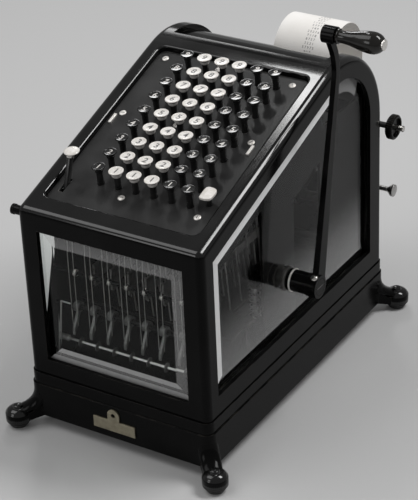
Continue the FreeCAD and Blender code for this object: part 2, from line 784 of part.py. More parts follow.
def side_plate(name, x0, x1, toes, gaps, extra):
    past0, past1 = x0 + " - 5", x1 + " + 5"
    floor = "case_foot + 14"
    front = wedge(
        name + "_front", x0, x1, PLATE_FRONT, PLATE_STEP,
        "case_foot", top(PLATE_FRONT) + " - 36", "case_foot", top(PLATE_STEP) + " - 36",
    )
    rear = box(name + "_rear", x0, x1, PLATE_STEP, PLATE_REAR, "case_foot", "sector_z + 90")
    foot_gap = box(
        name + "_foot_gap", past0, past1, "-unit_y + 20", "sector_y", "case_foot - 5", "case_foot + 6",
    )
    openings = [foot_gap]
    for n, (y0, y1, drop) in enumerate(gaps, 1):
        openings.append(wedge(
            "%s_gap_%d" % (name, n), past0, past1, y0, y1,
            floor, "%s - %d" % (top(y0), drop), floor, "%s - %d" % (top(y1), drop),
        ))
    blank = fuse(name + "_blank", [front, rear] + toes)
    return node(name, cut(name, blank, openings + extra))


bush_seat = rod("bush_seat", "plate_x - 5", "plate_x + side_t + 5", "-crank_y", "crank_z", "bush_r")
left_toe = wedge(
    "left_toe", "-plate_x - side_t", "-plate_x", "-case_d / 2 + wall + 0.8", PLATE_FRONT,
    "case_foot + 7", "case_foot + 61", "case_foot + 7", "case_foot + 107",
)
side_plate("left_side_plate", "-plate_x - side_t", "-plate_x", [left_toe], [], [])
side_plate("right_side_plate", "plate_x", "plate_x + side_t", [], PLATE_GAPS, [bush_seat])

pin_bar = rod("pin_bar", "-plate_x", "plate_x", "-unit_y", "pin_z", 2)
pins = []
for section in range(SECTIONS):
    x = column_x(section - 1)
    pins.append(rod("pin_%d" % section, x + " - 2", x + " + 2", "-unit_y", "pin_z", 3.2))
pin_rod = fuse("pin_rod", [pin_bar] + pins)
pawl_rod = rod("pawl_rod", "-plate_x", "plate_x", "-unit_y", "pawl_z", 2.5)
low_rod = rod("low_rod", "-plate_x", "plate_x", "sector_y + 40", "case_foot + 31", 4)
high_rod = rod("high_rod", "-plate_x", "plate_x", "sector_y + 30", "sector_z + 45", 4)
node("tie_rods", group("tie_rods", [pin_rod, pawl_rod, low_rod, high_rod]))
node("wheel_shaft", rod("wheel_shaft", "-plate_x", "plate_x", "-unit_y", "wheel_z", 3))
node("sector_shaft", rod("sector_shaft", "-plate_x", "plate_x", "sector_y", "sector_z", "sector_shaft_r"))

wheels = []
pawls = []
for section in range(SECTIONS):
    x = column_x(section - 1)
    rim = rod("rim_%d" % section, x + " - 1.2", x + " + 1.2", "-unit_y", "wheel_z", "wheel_r")
    collar = rod("collar_%d" % section, x + " - 4", x + " + 4", "-unit_y", "wheel_z", "wheel_r * 0.75")
    wheel_bore = rod("wheel_bore_%d" % section, x + " - 9", x + " + 9", "-unit_y", "wheel_z", 3.06)
    wheels.append(cut("wheel_%d" % section, fuse("wheel_blank_%d" % section, [rim, collar]), [wheel_bore]))
    hub = rod("pawl_hub_%d" % section, x + " - 3", x + " + 3", "-unit_y", "pawl_z", 5)
    tail = wedge(
        "pawl_tail_%d" % section, x + " - 1.5", x + " + 1.5", "-unit_y - 10", "-unit_y + 1",
        "pawl_z - 26", "pawl_z - 19", "pawl_z - 5", "pawl_z + 1",
    )
    pawl_bore = rod("pawl_bore_%d" % section, x + " - 9", x + " + 9", "-unit_y", "pawl_z", 2.56)
    pawls.append(cut("pawl_%d" % section, fuse("pawl_blank_%d" % section, [hub, tail]), [pawl_bore]))
node("adding_wheels", group("adding_wheels", wheels))
node("carry_pawls", group("carry_pawls", pawls))

HEAD_FRONT = "(case_d / 2 - 11.8)"
for number in range(1, COLUMNS + 1):
    x = "(%s - col_pitch / 2)" % column_x(number - 1)
    low_x, high_x = x + " - sector_t / 2", x + " + sector_t / 2"
    tag = "_%d" % number
    hub = rod("sector_hub" + tag, x + " - 4", x + " + 4", "sector_y", "sector_z", 10)
    front_arm = wedge(
        "front_arm" + tag, low_x, high_x, "-unit_y + 21", "sector_y",
        "sector_z - 14.5", "sector_z - 5.5", "sector_z - 4.5", "sector_z + 4.5",
    )
    front_end = box(
        "front_end" + tag, low_x, high_x, "-unit_y + 15", "-unit_y + 27", "sector_z - 20", "sector_z + 2",
    )
    rear_arm = wedge(
        "rear_arm" + tag, low_x, high_x, "sector_y", HEAD_FRONT + " + 2",
        "sector_z - 5", "sector_z + 5", "sector_z + 23", "sector_z + 33",
    )
    type_head = box(
        "type_head" + tag, x + " - 3", x + " + 3", HEAD_FRONT, HEAD_FRONT + " + 10",
        "sector_z + 16", "sector_z + 40",
    )
    bore = rod("sector_bore" + tag, x + " - 9", x + " + 9", "sector_y", "sector_z", "sector_shaft_r + 0.06")
    blank = fuse("sector_blank" + tag, [hub, front_arm, front_end, rear_arm, type_head])
    node("sector_%d" % number, cut("sector_%d" % number, blank, [bore]))

# Crank shaft, bushing, hub, arm and grip

shaft_bar = rod("shaft_bar", "dash_x - 8", "arm_x + eye_out - 3", "-crank_y", "crank_z", "shaft_r")
drive_bar = box("drive_bar", "dash_x - 4", "dash_x + 4", DRIVE_Y, "-crank_y", "crank_z - 5", "crank_z + 5")
drive_tip = rod("drive_tip", "dash_x - 4", "dash_x + 4", DRIVE_Y, "crank_z", 5)
drive_eye = rod("drive_eye", "dash_x - 4", "dash_x + 4", "-crank_y", "crank_z", "shaft_r + 4")
node("main_shaft", fuse("main_shaft", [shaft_bar, drive_bar, drive_tip, drive_eye]))

GLASS_FACE = "(case_w / 2 - glass_set)"
bush_tube = rod("bush_tube", "plate_x - 2", GLASS_FACE, "-crank_y", "crank_z", "bush_r")
bush_ring = rod("bush_ring", GLASS_FACE, "hub_x - 0.6", "-crank_y", "crank_z", "bush_r + 1.6")
bush_bore = rod("bush_bore", "plate_x - 9", "hub_x + 9", "-crank_y", "crank_z", "shaft_r + 0.06")
node("crank_bushing", cut("crank_bushing", fuse("bush_blank", [bush_tube, bush_ring]), [bush_bore]))

EYE_START = "(arm_x - eye_in)"
EYE_END = "(arm_x + eye_out)"
EYE_R = "(hub_r + eye_rim)"
SCREW_X = "(arm_x + 4)"
hub_round = rod("hub_round", "hub_x", EYE_START, "-crank_y", "crank_z", "hub_r")
hub_bore = rod("hub_bore", "hub_x - 5", "arm_x + 5", "-crank_y", "crank_z", "shaft_r")
node("crank_hub", cut("crank_hub", hub_round, [hub_bore]))


def set_piece(name, near, far, radius):
    start_y = "-crank_y - (%s) * sin(set_turn * 1deg)" % near
    start_z = "crank_z + (%s) * cos(set_turn * 1deg)" % near
    return leaning(name, SCREW_X, start_y, start_z, radius, "(%s) - (%s)" % (far, near), "set_turn")


set_shank = set_piece("set_shank", "0", EYE_R + " - 1", 2)
set_head = set_piece("set_head", EYE_R + " - 1", EYE_R + " + 2", 3.6)
set_clear = rod("set_clear", "hub_x", EYE_END, "-crank_y", "crank_z", "shaft_r")
set_screw = cut("set_screw", fuse("set_blank", [set_shank, set_head]), [set_clear])
end_screw = rod("end_screw", EYE_END + " - 3", EYE_END, "-crank_y", "crank_z", "shaft_r + 1.5")
node("hub_screws", group("hub_screws", [set_screw, end_screw]))


def arm_bar(name, start, finish, width, thick, far_width, far_thick):
    # A bar of oblong section, tapered from start to finish, both (y, z).
    run = "((%s) - (%s))" % (finish[0], start[0])
    rise = "((%s) - (%s))" % (finish[1], start[1])
    bar = doc.addObject("Part::Wedge", name)
    for prop, text in (
        ("Xmin", "-%s / 2" % thick), ("Xmax", "%s / 2" % thick),
        ("X2min", "-%s / 2" % far_thick), ("X2max", "%s / 2" % far_thick),
        ("Zmin", "-%s / 2" % width), ("Zmax", "%s / 2" % width),
        ("Z2min", "-%s / 2" % far_width), ("Z2max", "%s / 2" % far_width),
    ):
        bind(bar, prop, text)
    bind(bar, "Ymin", 0)
    bind(bar, "Ymax", "sqrt(%s * %s + %s * %s)" % (run, run, rise, rise))
    bar.Placement = Placement(Vector(0, 0, 0), Rotation(X_AXIS, 20))
    bind(bar, "Placement.Rotation.Angle", "90deg - atan(%s / %s)" % (run, rise))
    place(bar, "arm_x + arm_t / 2", start[0], start[1])
    return bar


# The neck is an arc that leaves the long bar and the short bar square.
LEAN = math.atan2(size("arm_lean") - size("arm_back"), size("arm_rise"))
NOD = math.atan2(size("boss_ahead"), size("boss_rise"))
NECK_R = size("neck_reach") / math.tan((LEAN + NOD) / 2)
neck_low = (
    "(bend_y - neck_reach * %.6f)" % math.sin(LEAN), "(bend_z - neck_reach * %.6f)" % math.cos(LEAN),
)
neck_high = (
    "(bend_y - neck_reach * %.6f)" % math.sin(NOD), "(bend_z + neck_reach * %.6f)" % math.cos(NOD),
)
neck_layers = []
for word, edge in (("out", "neck_w / 2"), ("in", "-neck_w / 2")):
    layer = doc.addObject("Part::Cylinder", "neck_" + word)
    lying = Rotation(Y_AXIS, Z_AXIS, X_AXIS, "ZXY")
    layer.Placement = Placement(Vector(0, 0, 0), lying.multiply(Rotation(Z_AXIS, -math.degrees(LEAN))))
    bind(layer, "Radius", "%.6f + %s" % (NECK_R, edge))
    bind(layer, "Height", "neck_t")
    place(
        layer, "arm_x + arm_t / 2 - neck_t / 2", "%s - %.6f" % (neck_low[0], NECK_R * math.cos(LEAN)),
        "%s + %.6f" % (neck_low[1], NECK_R * math.sin(LEAN)),
    )
    neck_layers.append(layer)
neck_layers[0].Angle = math.degrees(LEAN + NOD)
arm_neck = cut("arm_neck", neck_layers[0], [neck_layers[1]])
arm_foot = ("(arm_back - crank_y)", "crank_z")
arm_long = arm_bar("arm_long", arm_foot, neck_low, "arm_w", "arm_t", "neck_w", "neck_t")
arm_short = arm_bar("arm_short", neck_high, ("boss_y", "boss_z"), "neck_w", "neck_t", "neck_w", "neck_t")
arm_eye = rod("arm_eye", EYE_START, EYE_END, "-crank_y", "crank_z", EYE_R)
arm_boss = rod("arm_boss", "arm_x - 0.4", "arm_x + boss_out", "boss_y", "boss_z", "boss_r")
arm_bore = rod("arm_bore", EYE_START + " - 5", EYE_END + " - 3", "-crank_y", "crank_z", "shaft_r")
end_seat = rod("end_seat", EYE_END + " - 3", EYE_END + " + 5", "-crank_y", "crank_z", "shaft_r + 1.5")
set_hole = set_piece("set_hole", "0", EYE_R + " + 1", 2)
set_seat = set_piece("set_seat", EYE_R + " - 1", EYE_R + " + 5", 3.6)
boss_bore = rod("boss_bore", "arm_x - 9", "arm_x + 20", "boss_y", "boss_z", "spindle_r")
arm_blank = fuse("arm_blank", [arm_eye, arm_long, arm_neck, arm_short, arm_boss])
node("crank_arm", cut("crank_arm", arm_blank, [arm_bore, end_seat, set_hole, set_seat, boss_bore]))

GRIP_START = "(arm_x + boss_out + 0.6)"
GRIP_END = "(arm_x + boss_out + 0.6 + grip_len)"
spindle_bar = rod("spindle_bar", "arm_x - 0.4", GRIP_END + " + 0.4", "boss_y", "boss_z", "spindle_r")
spindle_head = rod(
    "spindle_head", GRIP_END + " + 0.4", GRIP_END + " + 2", "boss_y", "boss_z", "spindle_r + 1.5",
)
node("grip_spindle", fuse("grip_spindle", [spindle_bar, spindle_head]))

GRIP_PROFILE = [
    (0, "grip_r * 0.68"), (0.05, "grip_r * 0.72"), (0.08, "grip_r * 0.56"), (0.24, "grip_r * 0.6"),
    (0.44, "grip_r * 0.78"), (0.62, "grip_r * 0.94"), (0.78, "grip_r"), (0.9, "grip_r * 0.93"),
    (1, "grip_r * 0.62"),
]


def turned(name, start, length, profile, bore):
    body = doc.addObject("PartDesign::Body", name)
    sketch = body.newObject("Sketcher::SketchObject", name + "_profile")
    plane = [f for f in body.Origin.OriginFeatures if f.Role == "XY_Plane"][0]
    sketch.AttachmentSupport = [(plane, "")]
    sketch.MapMode = "FlatFace"
    corners = [("(%s) + %s * (%s)" % (start, share, length), radius) for share, radius in profile]
    corners.append((corners[-1][0], bore))
    corners.append((corners[0][0], bore))
    guess = [Vector(100 + 2 * n, 5 + n % 7, 0) for n in range(len(corners))]
    for n in range(len(corners)):
        sketch.addGeometry(Part.LineSegment(guess[n], guess[(n + 1) % len(corners)]), False)
    for n in range(len(corners)):
        after = (n + 1) % len(corners)
        sketch.addConstraint(Sketcher.Constraint("Coincident", n, 2, after, 1))
    for n, (reach, radius) in enumerate(corners):
        across = sketch.addConstraint(Sketcher.Constraint("DistanceX", -1, 1, n, 1, guess[n].x))
        sketch.setExpression("Constraints[%d]" % across, formula(reach))
        above = sketch.addConstraint(Sketcher.Constraint("DistanceY", -1, 1, n, 1, guess[n].y))
        sketch.setExpression("Constraints[%d]" % above, formula(radius))
    spun = body.newObject("PartDesign::Revolution", name + "_spun")
    spun.Profile = sketch
    spun.ReferenceAxis = (sketch, ["H_Axis"])
    spun.Angle = 360
    body.Tip = spun
    return body


crank_grip = turned("crank_grip", GRIP_START, "grip_len", GRIP_PROFILE, "spindle_r + 0.07")
place(crank_grip, 0, "boss_y", "boss_z")
node("crank_grip", crank_grip)

# Dash pot under the inner arm of the crank shaft

POT_TOP = "(case_foot + dash_h)"
HEAD_TOP = "(crank_z - 5.5)"
pot_out = post("pot_out", "dash_x", DRIVE_Y, "case_foot", POT_TOP, "dash_r")
pot_in = post("pot_in", "dash_x", DRIVE_Y, "case_foot + 2", POT_TOP + " - 2", "dash_r - 1.5")
pot_bore = post("pot_bore", "dash_x", DRIVE_Y, POT_TOP + " - 5", POT_TOP + " + 5", "rod_r + 0.06")
node("dash_pot", cut("dash_pot", pot_out, [pot_in, pot_bore]))
piston_disc = post("piston_disc", "dash_x", DRIVE_Y, POT_TOP + " - 8", POT_TOP + " - 3", "dash_r - 1.9")
piston_rod = post("piston_rod", "dash_x", DRIVE_Y, POT_TOP + " - 8", HEAD_TOP, "rod_r")
piston_head = post("piston_head", "dash_x", DRIVE_Y, HEAD_TOP + " - 3", HEAD_TOP, "spring_r + 1.5")
node("dash_piston", fuse("dash_piston", [piston_disc, piston_rod, piston_head]))


def spring_path(radius, low, rise, turns):
    steps = turns * 4
    arcs = []
    for n in range(steps):
        ends = []
        for part in (0, 0.5, 1):
            share = (n + part) / steps
            angle = 2 * math.pi * turns * share
            ends.append(Vector(radius * math.cos(angle), radius * math.sin(angle), low + rise * share))
        arcs.append(Part.Arc(*ends).toShape())
    return Part.Wire(arcs)


spring_low = size("case_foot") + size("dash_h")
spring_high = size("crank_z") - 5.5 - 3
coil_r = size("spring_r")
wire_size = size("spring_wire")
coil_rise = spring_high - spring_low - 2 * wire_size - 0.02
coil_path = spring_path(coil_r, spring_low + wire_size + 0.01, coil_rise, SPRING_TURNS)
coil_start = coil_path.Vertexes[0].Point
coil_way = coil_path.Edges[0].tangentAt(coil_path.Edges[0].FirstParameter)
coil_round = Part.Wire([Part.makeCircle(wire_size, coil_start, coil_way)])
coil_shape = coil_path.makePipeShell([coil_round], True, False)
dash_spring = doc.addObject("Part::Feature", "dash_spring")
dash_spring.Shape = coil_shape
place(dash_spring, "dash_x", DRIVE_Y, 0)
node("dash_spring", dash_spring)


def least_gap(path, turns, wire):
    points = []
    for edge in path.Edges:
        points.extend(edge.discretize(9)[:-1])
    turn_points = len(points) // turns
    nearest = min(
        (points[a] - points[b]).Length
        for a in range(len(points))
        for b in range(a + turn_points // 2, len(points))
    )
    return nearest - 2 * wire


print("least gap between curls %.2f mm" % least_gap(coil_path, SPRING_TURNS, wire_size))

# Carriage brackets, platen, paper and spools

AXLE_HOLE = "axle_r + 0.06"


def bracket(name, side):
    near = "%d * bracket_x" % side
    far = "%d * (bracket_x + bracket_t)" % side
    wing = "%d * (plate_x + 9)" % side
    x0, x1 = (far, near) if side < 0 else (near, far)
    w0, w1 = (wing, near) if side < 0 else (near, wing)
    past0, past1 = x0 + " - 5", x1 + " + 5"
    solids = [
        box(name + "_wing", w0, w1, REAR, REAR + " + 3", "clamp_z - 15", "platen_z + 14"),
        box(name + "_web", x0, x1, REAR, "platen_y + 12", "clamp_z - 15", "platen_z + 34"),
        box(name + "_low", x0, x1, REAR, "spool_y + 10", "clamp_z - 15", "spool_z + 10"),
        rod(name + "_roll_eye", x0, x1, "roll_y", "roll_z", 8.5),
        wedge(name + "_rise", x0, x1, "platen_y - 6", "roll_y + 6", "platen_z + 10", "platen_z + 34",
              "roll_z - 10", "roll_z + 7"),
    ]
    holes = [
        rod(name + "_axle_hole", past0, past1, "platen_y", "platen_z", AXLE_HOLE),
        rod(name + "_roll_hole", past0, past1, "roll_y", "roll_z", "spindle_rr"),
        rod(name + "_clamp_hole", past0, past1, "clamp_y", "clamp_z", 2.56),
    ]
    plain = cut(name + "_plain", fuse(name + "_blank", solids), holes)
    stub_x = "%d * (bracket_x - 16)" % side
    s0, s1 = (near, stub_x) if side < 0 else (stub_x, near)
    stub = rod(name + "_stub", s0, s1, "spool_y", "spool_z", 3)
    return node(name, fuse(name, [plain, stub]))


bracket("left_bracket", -1)
bracket("right_bracket", 1)

KNOB_X = "(plate_x + bracket_t + knob_out)"
roller = rod("roller", "-platen_len / 2", "platen_len / 2", "platen_y", "platen_z", "platen_r")
axle = rod(
    "axle", "-bracket_x - bracket_t - 3", "bracket_x + bracket_t + 3", "platen_y", "platen_z", "axle_r",
)
axle_tail = rod("axle_tail", "bracket_x", KNOB_X + " + 2 * knob_t", "platen_y", "platen_z", "tail_r")
node("platen", fuse("platen", [roller, axle, axle_tail]))
knob_disc = rod("knob_disc", KNOB_X, KNOB_X + " + knob_t", "platen_y", "platen_z", "knob_r")
knob_dish = rod(
    "knob_dish", KNOB_X + " + knob_t - 2.5", KNOB_X + " + 20", "platen_y", "platen_z", "knob_r - 3",
)
knob_bore = rod("knob_bore", KNOB_X + " - 9", KNOB_X + " + 20", "platen_y", "platen_z", "tail_r")
node("platen_knob", cut("platen_knob", knob_disc, [knob_dish, knob_bore]))

node("roll_spindle", rod(
    "roll_spindle", "-bracket_x - bracket_t", "bracket_x + bracket_t", "roll_y", "roll_z", "spindle_rr",
))
PAPER_LEFT = "(paper_x - paper_w / 2)"
PAPER_RIGHT = "(paper_x + paper_w / 2)"
roll_round = rod("roll_round", PAPER_LEFT, PAPER_RIGHT, "roll_y", "roll_z", "roll_r")
roll_core = rod(
    "roll_core", PAPER_LEFT + " - 5", PAPER_RIGHT + " + 5", "roll_y", "roll_z", "spindle_rr + 0.08",
)
node("paper_roll", cut("paper_roll", roll_round, [roll_core]))


def paper_bend(name, y, z, radius, start, sweep):
    lying = Rotation(Y_AXIS, Z_AXIS, X_AXIS, "ZXY")
    facing = lying.multiply(Rotation(Z_AXIS, start))
    layers = []
    for word, extra in (("out", "paper_t"), ("in", "0")):
        layer = doc.addObject("Part::Cylinder", name + "_" + word)
        layer.Placement = Placement(Vector(0, 0, 0), facing)
        bind(layer, "Radius", "%s + %s" % (radius, extra))
        bind(layer, "Height", "paper_w")
        place(layer, PAPER_LEFT, y, z)
        layers.append(layer)
    layers[0].Angle = sweep
    return cut(name, layers[0], [layers[1]])


WRAP_R = "(platen_r + fit_gap)"
STRIP_Y = "(platen_y - platen_r - fit_gap)"
BEND_R = 13
strip_parts = [
    box("strip_rise", PAPER_LEFT, PAPER_RIGHT, STRIP_Y + " - paper_t", STRIP_Y, "platen_z", "arch_z"),
    paper_bend("strip_arch", STRIP_Y + " + arch_r", "arch_z", "arch_r", 0, 180),
    box("strip_tail", PAPER_LEFT, PAPER_RIGHT, STRIP_Y + " + 2 * arch_r", STRIP_Y + " + 2 * arch_r + paper_t",
        "arch_z - 16", "arch_z"),
    paper_bend("strip_wrap", "platen_y", "platen_z", WRAP_R, 180, 90),
    box("strip_floor", PAPER_LEFT, PAPER_RIGHT, "platen_y", "roll_y + roll_r - %d" % BEND_R,
        "platen_z - %s - paper_t" % WRAP_R, "platen_z - %s" % WRAP_R),
    paper_bend("strip_turn", "roll_y + roll_r - %d" % BEND_R, "platen_z - %s + %d" % (WRAP_R, BEND_R),
               BEND_R, 270, 90),
    box("strip_feed", PAPER_LEFT, PAPER_RIGHT, "roll_y + roll_r", "roll_y + roll_r + paper_t",
        "platen_z - %s + %d" % (WRAP_R, BEND_R), "roll_z"),
]
node("paper_strip", fuse("paper_strip", strip_parts))
node("tear_bar", box(
    "tear_bar", "-bracket_x", "bracket_x", STRIP_Y, STRIP_Y + " + 2.5",
    "platen_z + platen_r + 4", "platen_z + 31",
))

spools = []
for side, word in ((-1, "left"), (1, "right")):
    inner = "%d * (bracket_x - 14)" % side
    outer = "%d * (bracket_x - 1)" % side
    s0, s1 = (outer, inner) if side < 0 else (inner, outer)
    flanges = [
        rod("spool_core_" + word, s0, s1, "spool_y", "spool_z", "spool_r * 0.7"),
        rod("spool_low_" + word, s0, s0 + " + 1.2", "spool_y", "spool_z", "spool_r"),
        rod("spool_high_" + word, s1 + " - 1.2", s1, "spool_y", "spool_z", "spool_r"),
    ]
    spool_bore = rod("spool_bore_" + word, s0 + " - 5", s1 + " + 5", "spool_y", "spool_z", 3.06)
    spools.append(cut("spool_" + word, fuse("spool_blank_" + word, flanges), [spool_bore]))
node("ribbon_spools", group("ribbon_spools", spools))

CLAMP_X = "(plate_x + bracket_t)"
clamp_shank = rod("clamp_shank", "bracket_x - 3", CLAMP_X + " + 3", "clamp_y", "clamp_z", 2.5)
clamp_flare = doc.addObject("Part::Cone", "clamp_flare")
clamp_flare.Placement = Placement(Vector(0, 0, 0), Rotation(Y_AXIS, 90))
bind(clamp_flare, "Radius1", 2)
bind(clamp_flare, "Radius2", 6.3)
bind(clamp_flare, "Height", 5.5)
place(clamp_flare, CLAMP_X + " + 3", "clamp_y", "clamp_z")
clamp_head = rod("clamp_head", CLAMP_X + " + 8.5", CLAMP_X + " + 11", "clamp_y", "clamp_z", 6.3)
node("clamp_screw", fuse("clamp_screw", [clamp_shank, clamp_flare, clamp_head]))

# Every piece is checked, then written to its own file

doc.recompute()
for thing in doc.Objects:
    bad = [state for state in thing.State if state in ("Invalid", "Error")]
    if bad:
        raise RuntimeError("%s is %s" % (thing.Name, bad))
os.makedirs("parts", exist_ok=True)
for label, thing in nodes.items():
    if thing.Shape.isNull() or not thing.Shape.isValid():
        raise RuntimeError("%s has no valid shape" % label)
    if not thing.Shape.Solids:
        raise RuntimeError("%s has no solid" % label)
    thing.Shape.exportStep("parts/%s.step" % label)
print("%d pieces" % len(nodes))
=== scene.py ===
import math
import random

import bmesh
import bpy
from mathutils import Matrix, Vector


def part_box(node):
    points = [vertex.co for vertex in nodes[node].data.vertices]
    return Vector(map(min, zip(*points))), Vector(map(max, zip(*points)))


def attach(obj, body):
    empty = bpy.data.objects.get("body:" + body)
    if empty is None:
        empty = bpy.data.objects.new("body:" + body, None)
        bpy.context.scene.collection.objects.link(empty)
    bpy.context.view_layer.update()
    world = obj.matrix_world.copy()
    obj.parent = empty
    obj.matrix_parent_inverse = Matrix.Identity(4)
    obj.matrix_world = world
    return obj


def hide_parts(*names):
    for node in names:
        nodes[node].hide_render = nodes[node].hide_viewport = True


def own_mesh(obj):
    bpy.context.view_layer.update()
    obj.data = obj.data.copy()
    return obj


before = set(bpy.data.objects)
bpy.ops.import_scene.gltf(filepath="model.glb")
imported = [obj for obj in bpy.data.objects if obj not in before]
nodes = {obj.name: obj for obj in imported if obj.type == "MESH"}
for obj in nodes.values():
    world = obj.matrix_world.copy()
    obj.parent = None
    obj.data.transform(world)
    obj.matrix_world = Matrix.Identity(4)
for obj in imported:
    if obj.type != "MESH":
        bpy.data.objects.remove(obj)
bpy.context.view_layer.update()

# Sizes in millimetres, in the frame of the machine: front to -Y, crank to +X, table at z = 0.
MM = 0.001
CASE_W = 196.4
CASE_D = 339.6
FRONT_H = 232.5
SLOPE = math.radians(18.1)
CASE_FOOT = 59.0
GLASS_SET = 4.0
GLASS_T = 5.0
KEY_TILT = math.radians(7.0)
KEY_SLOPE = math.radians(17.5)
KEY_X = 7.0
COL_PITCH = 19.05
ROW_PITCH = 19.34
MID_ROW = Vector((0.0, -40.8, 288.1))
CAP_R = {"white": 7.0, "dark": 6.4}
WHITE_COLUMNS = (1, 2, 3)
COLUMNS = 6
ROWS = 9

PLATE_DROP = 5.0
SHAFT_AT = Vector((CASE_W / 2 - GLASS_SET, -18.4, 132.2))
ARM_X = 122.0
EYE_R = 11.3
GRIP_AT = Vector((134.6, 9.5, 374.0))
GRIP_LEN = 44.5
GRIP_R = 10.0
PLATEN_AT = Vector((0.0, 188.0, 201.5))
KNOB_X = 97.5
KNOB_R = 12.7
KNOB_T = 7.5
ARCH_AT = Vector((5.0, 208.65, 255.0))
ARCH_R = 36.6
ROLL_AT = Vector((5.0, 210.0, 230.0))
UNIT_Y = -138.0
PIN_Z = 159.0
LEVER_AT = Vector((-72.0, -128.0, 232.17))
LEVER_LEN = 42.0
LEVER_LEAN = math.radians(18.6)
REPEAT_AT = Vector((70.4, -110.7, 260.0))

random.seed(7)


def case_top(y):
    return FRONT_H + math.tan(SLOPE) * (CASE_D / 2 + y)


# Shared masks and the finishes that use them


def new_group(name, inputs, outputs):
    tree = bpy.data.node_groups.new(name, "ShaderNodeTree")
    for label, value in inputs:
        socket = tree.interface.new_socket(label, in_out="INPUT", socket_type="NodeSocketFloat")
        socket.default_value = value
    for label in outputs:
        tree.interface.new_socket(label, in_out="OUTPUT", socket_type="NodeSocketFloat")
    return tree, tree.nodes.new("NodeGroupInput"), tree.nodes.new("NodeGroupOutput")


def noise_at(tree, coordinates, size_socket, detail):
    scale = tree.nodes.new("ShaderNodeMath")
    scale.operation = "DIVIDE"
    scale.inputs[0].default_value = 1.0
    tree.links.new(size_socket, scale.inputs[1])
    noise = tree.nodes.new("ShaderNodeTexNoise")
    noise.inputs["Detail"].default_value = detail
    tree.links.new(coordinates, noise.inputs["Vector"])
    tree.links.new(scale.outputs[0], noise.inputs["Scale"])
    return noise.outputs["Fac"]


def blotch_and_grain():
    tree, source, sink = new_group(
        "blotch_and_grain", [("Blotch Size", 0.03), ("Grain Size", 0.001)], ["Blotch", "Grain"],
    )
    where = tree.nodes.new("ShaderNodeTexCoord")
    for label, detail, low, high in (("Blotch", 4.0, 0.35, 0.68), ("Grain", 2.0, 0.3, 0.7)):
        value = noise_at(tree, where.outputs["Object"], source.outputs[label + " Size"], detail)
        spread = tree.nodes.new("ShaderNodeMapRange")
        spread.inputs["From Min"].default_value = low
        spread.inputs["From Max"].default_value = high
        tree.links.new(value, spread.inputs["Value"])
        tree.links.new(spread.outputs["Result"], sink.inputs[label])
    return tree


def worn_edge():
    tree, source, sink = new_group("worn_edge", [("Width", 0.0008), ("Patch Size", 0.012)], ["Mask"])
    round_over = tree.nodes.new("ShaderNodeBevel")
    round_over.samples = 4
    face = tree.nodes.new("ShaderNodeNewGeometry")
    meet = tree.nodes.new("ShaderNodeVectorMath")
    meet.operation = "DOT_PRODUCT"
    sharp = tree.nodes.new("ShaderNodeMapRange")
    sharp.inputs["From Min"].default_value = 0.985
    sharp.inputs["From Max"].default_value = 0.85
    where = tree.nodes.new("ShaderNodeTexCoord")
    patch = noise_at(tree, where.outputs["Object"], source.outputs["Patch Size"], 3.0)
    patch_range = tree.nodes.new("ShaderNodeMapRange")
    patch_range.inputs["From Min"].default_value = 0.42
    patch_range.inputs["From Max"].default_value = 0.66
    both = tree.nodes.new("ShaderNodeMath")
    both.operation = "MULTIPLY"
    tree.links.new(source.outputs["Width"], round_over.inputs["Radius"])
    tree.links.new(round_over.outputs["Normal"], meet.inputs[0])
    tree.links.new(face.outputs["Normal"], meet.inputs[1])
    tree.links.new(meet.outputs["Value"], sharp.inputs["Value"])
    tree.links.new(patch, patch_range.inputs["Value"])
    tree.links.new(sharp.outputs["Result"], both.inputs[0])
    tree.links.new(patch_range.outputs["Result"], both.inputs[1])
    tree.links.new(both.outputs[0], sink.inputs["Mask"])
    return tree


BLOTCH_AND_GRAIN = blotch_and_grain()
WORN_EDGE = worn_edge()


def use_group(tree, group, **values):
    made = tree.nodes.new("ShaderNodeGroup")
    made.node_tree = group
    for label, value in values.items():
        made.inputs[label.replace("_", " ")].default_value = value
    return made


def new_material(name):
    mat = bpy.data.materials.new(name)
    mat.use_nodes = True
    tree = mat.node_tree
    tree.nodes.clear()
    out = tree.nodes.new("ShaderNodeOutputMaterial")
    shader = tree.nodes.new("ShaderNodeBsdfPrincipled")
    tree.links.new(shader.outputs["BSDF"], out.inputs["Surface"])
    return mat, tree, shader


def grey(value, warm=0.0):
    return (value * (1 + warm), value, value * (1 - 1.4 * warm), 1.0)


def mixed(tree, factor, low, high):
    blend = tree.nodes.new("ShaderNodeMix")
    blend.data_type = "RGBA"
    for socket, value in ((blend.inputs[6], low), (blend.inputs[7], high)):
        if isinstance(value, tuple):
            socket.default_value = value
        else:
            tree.links.new(value, socket)
    tree.links.new(factor, blend.inputs[0])
    return blend.outputs[2]


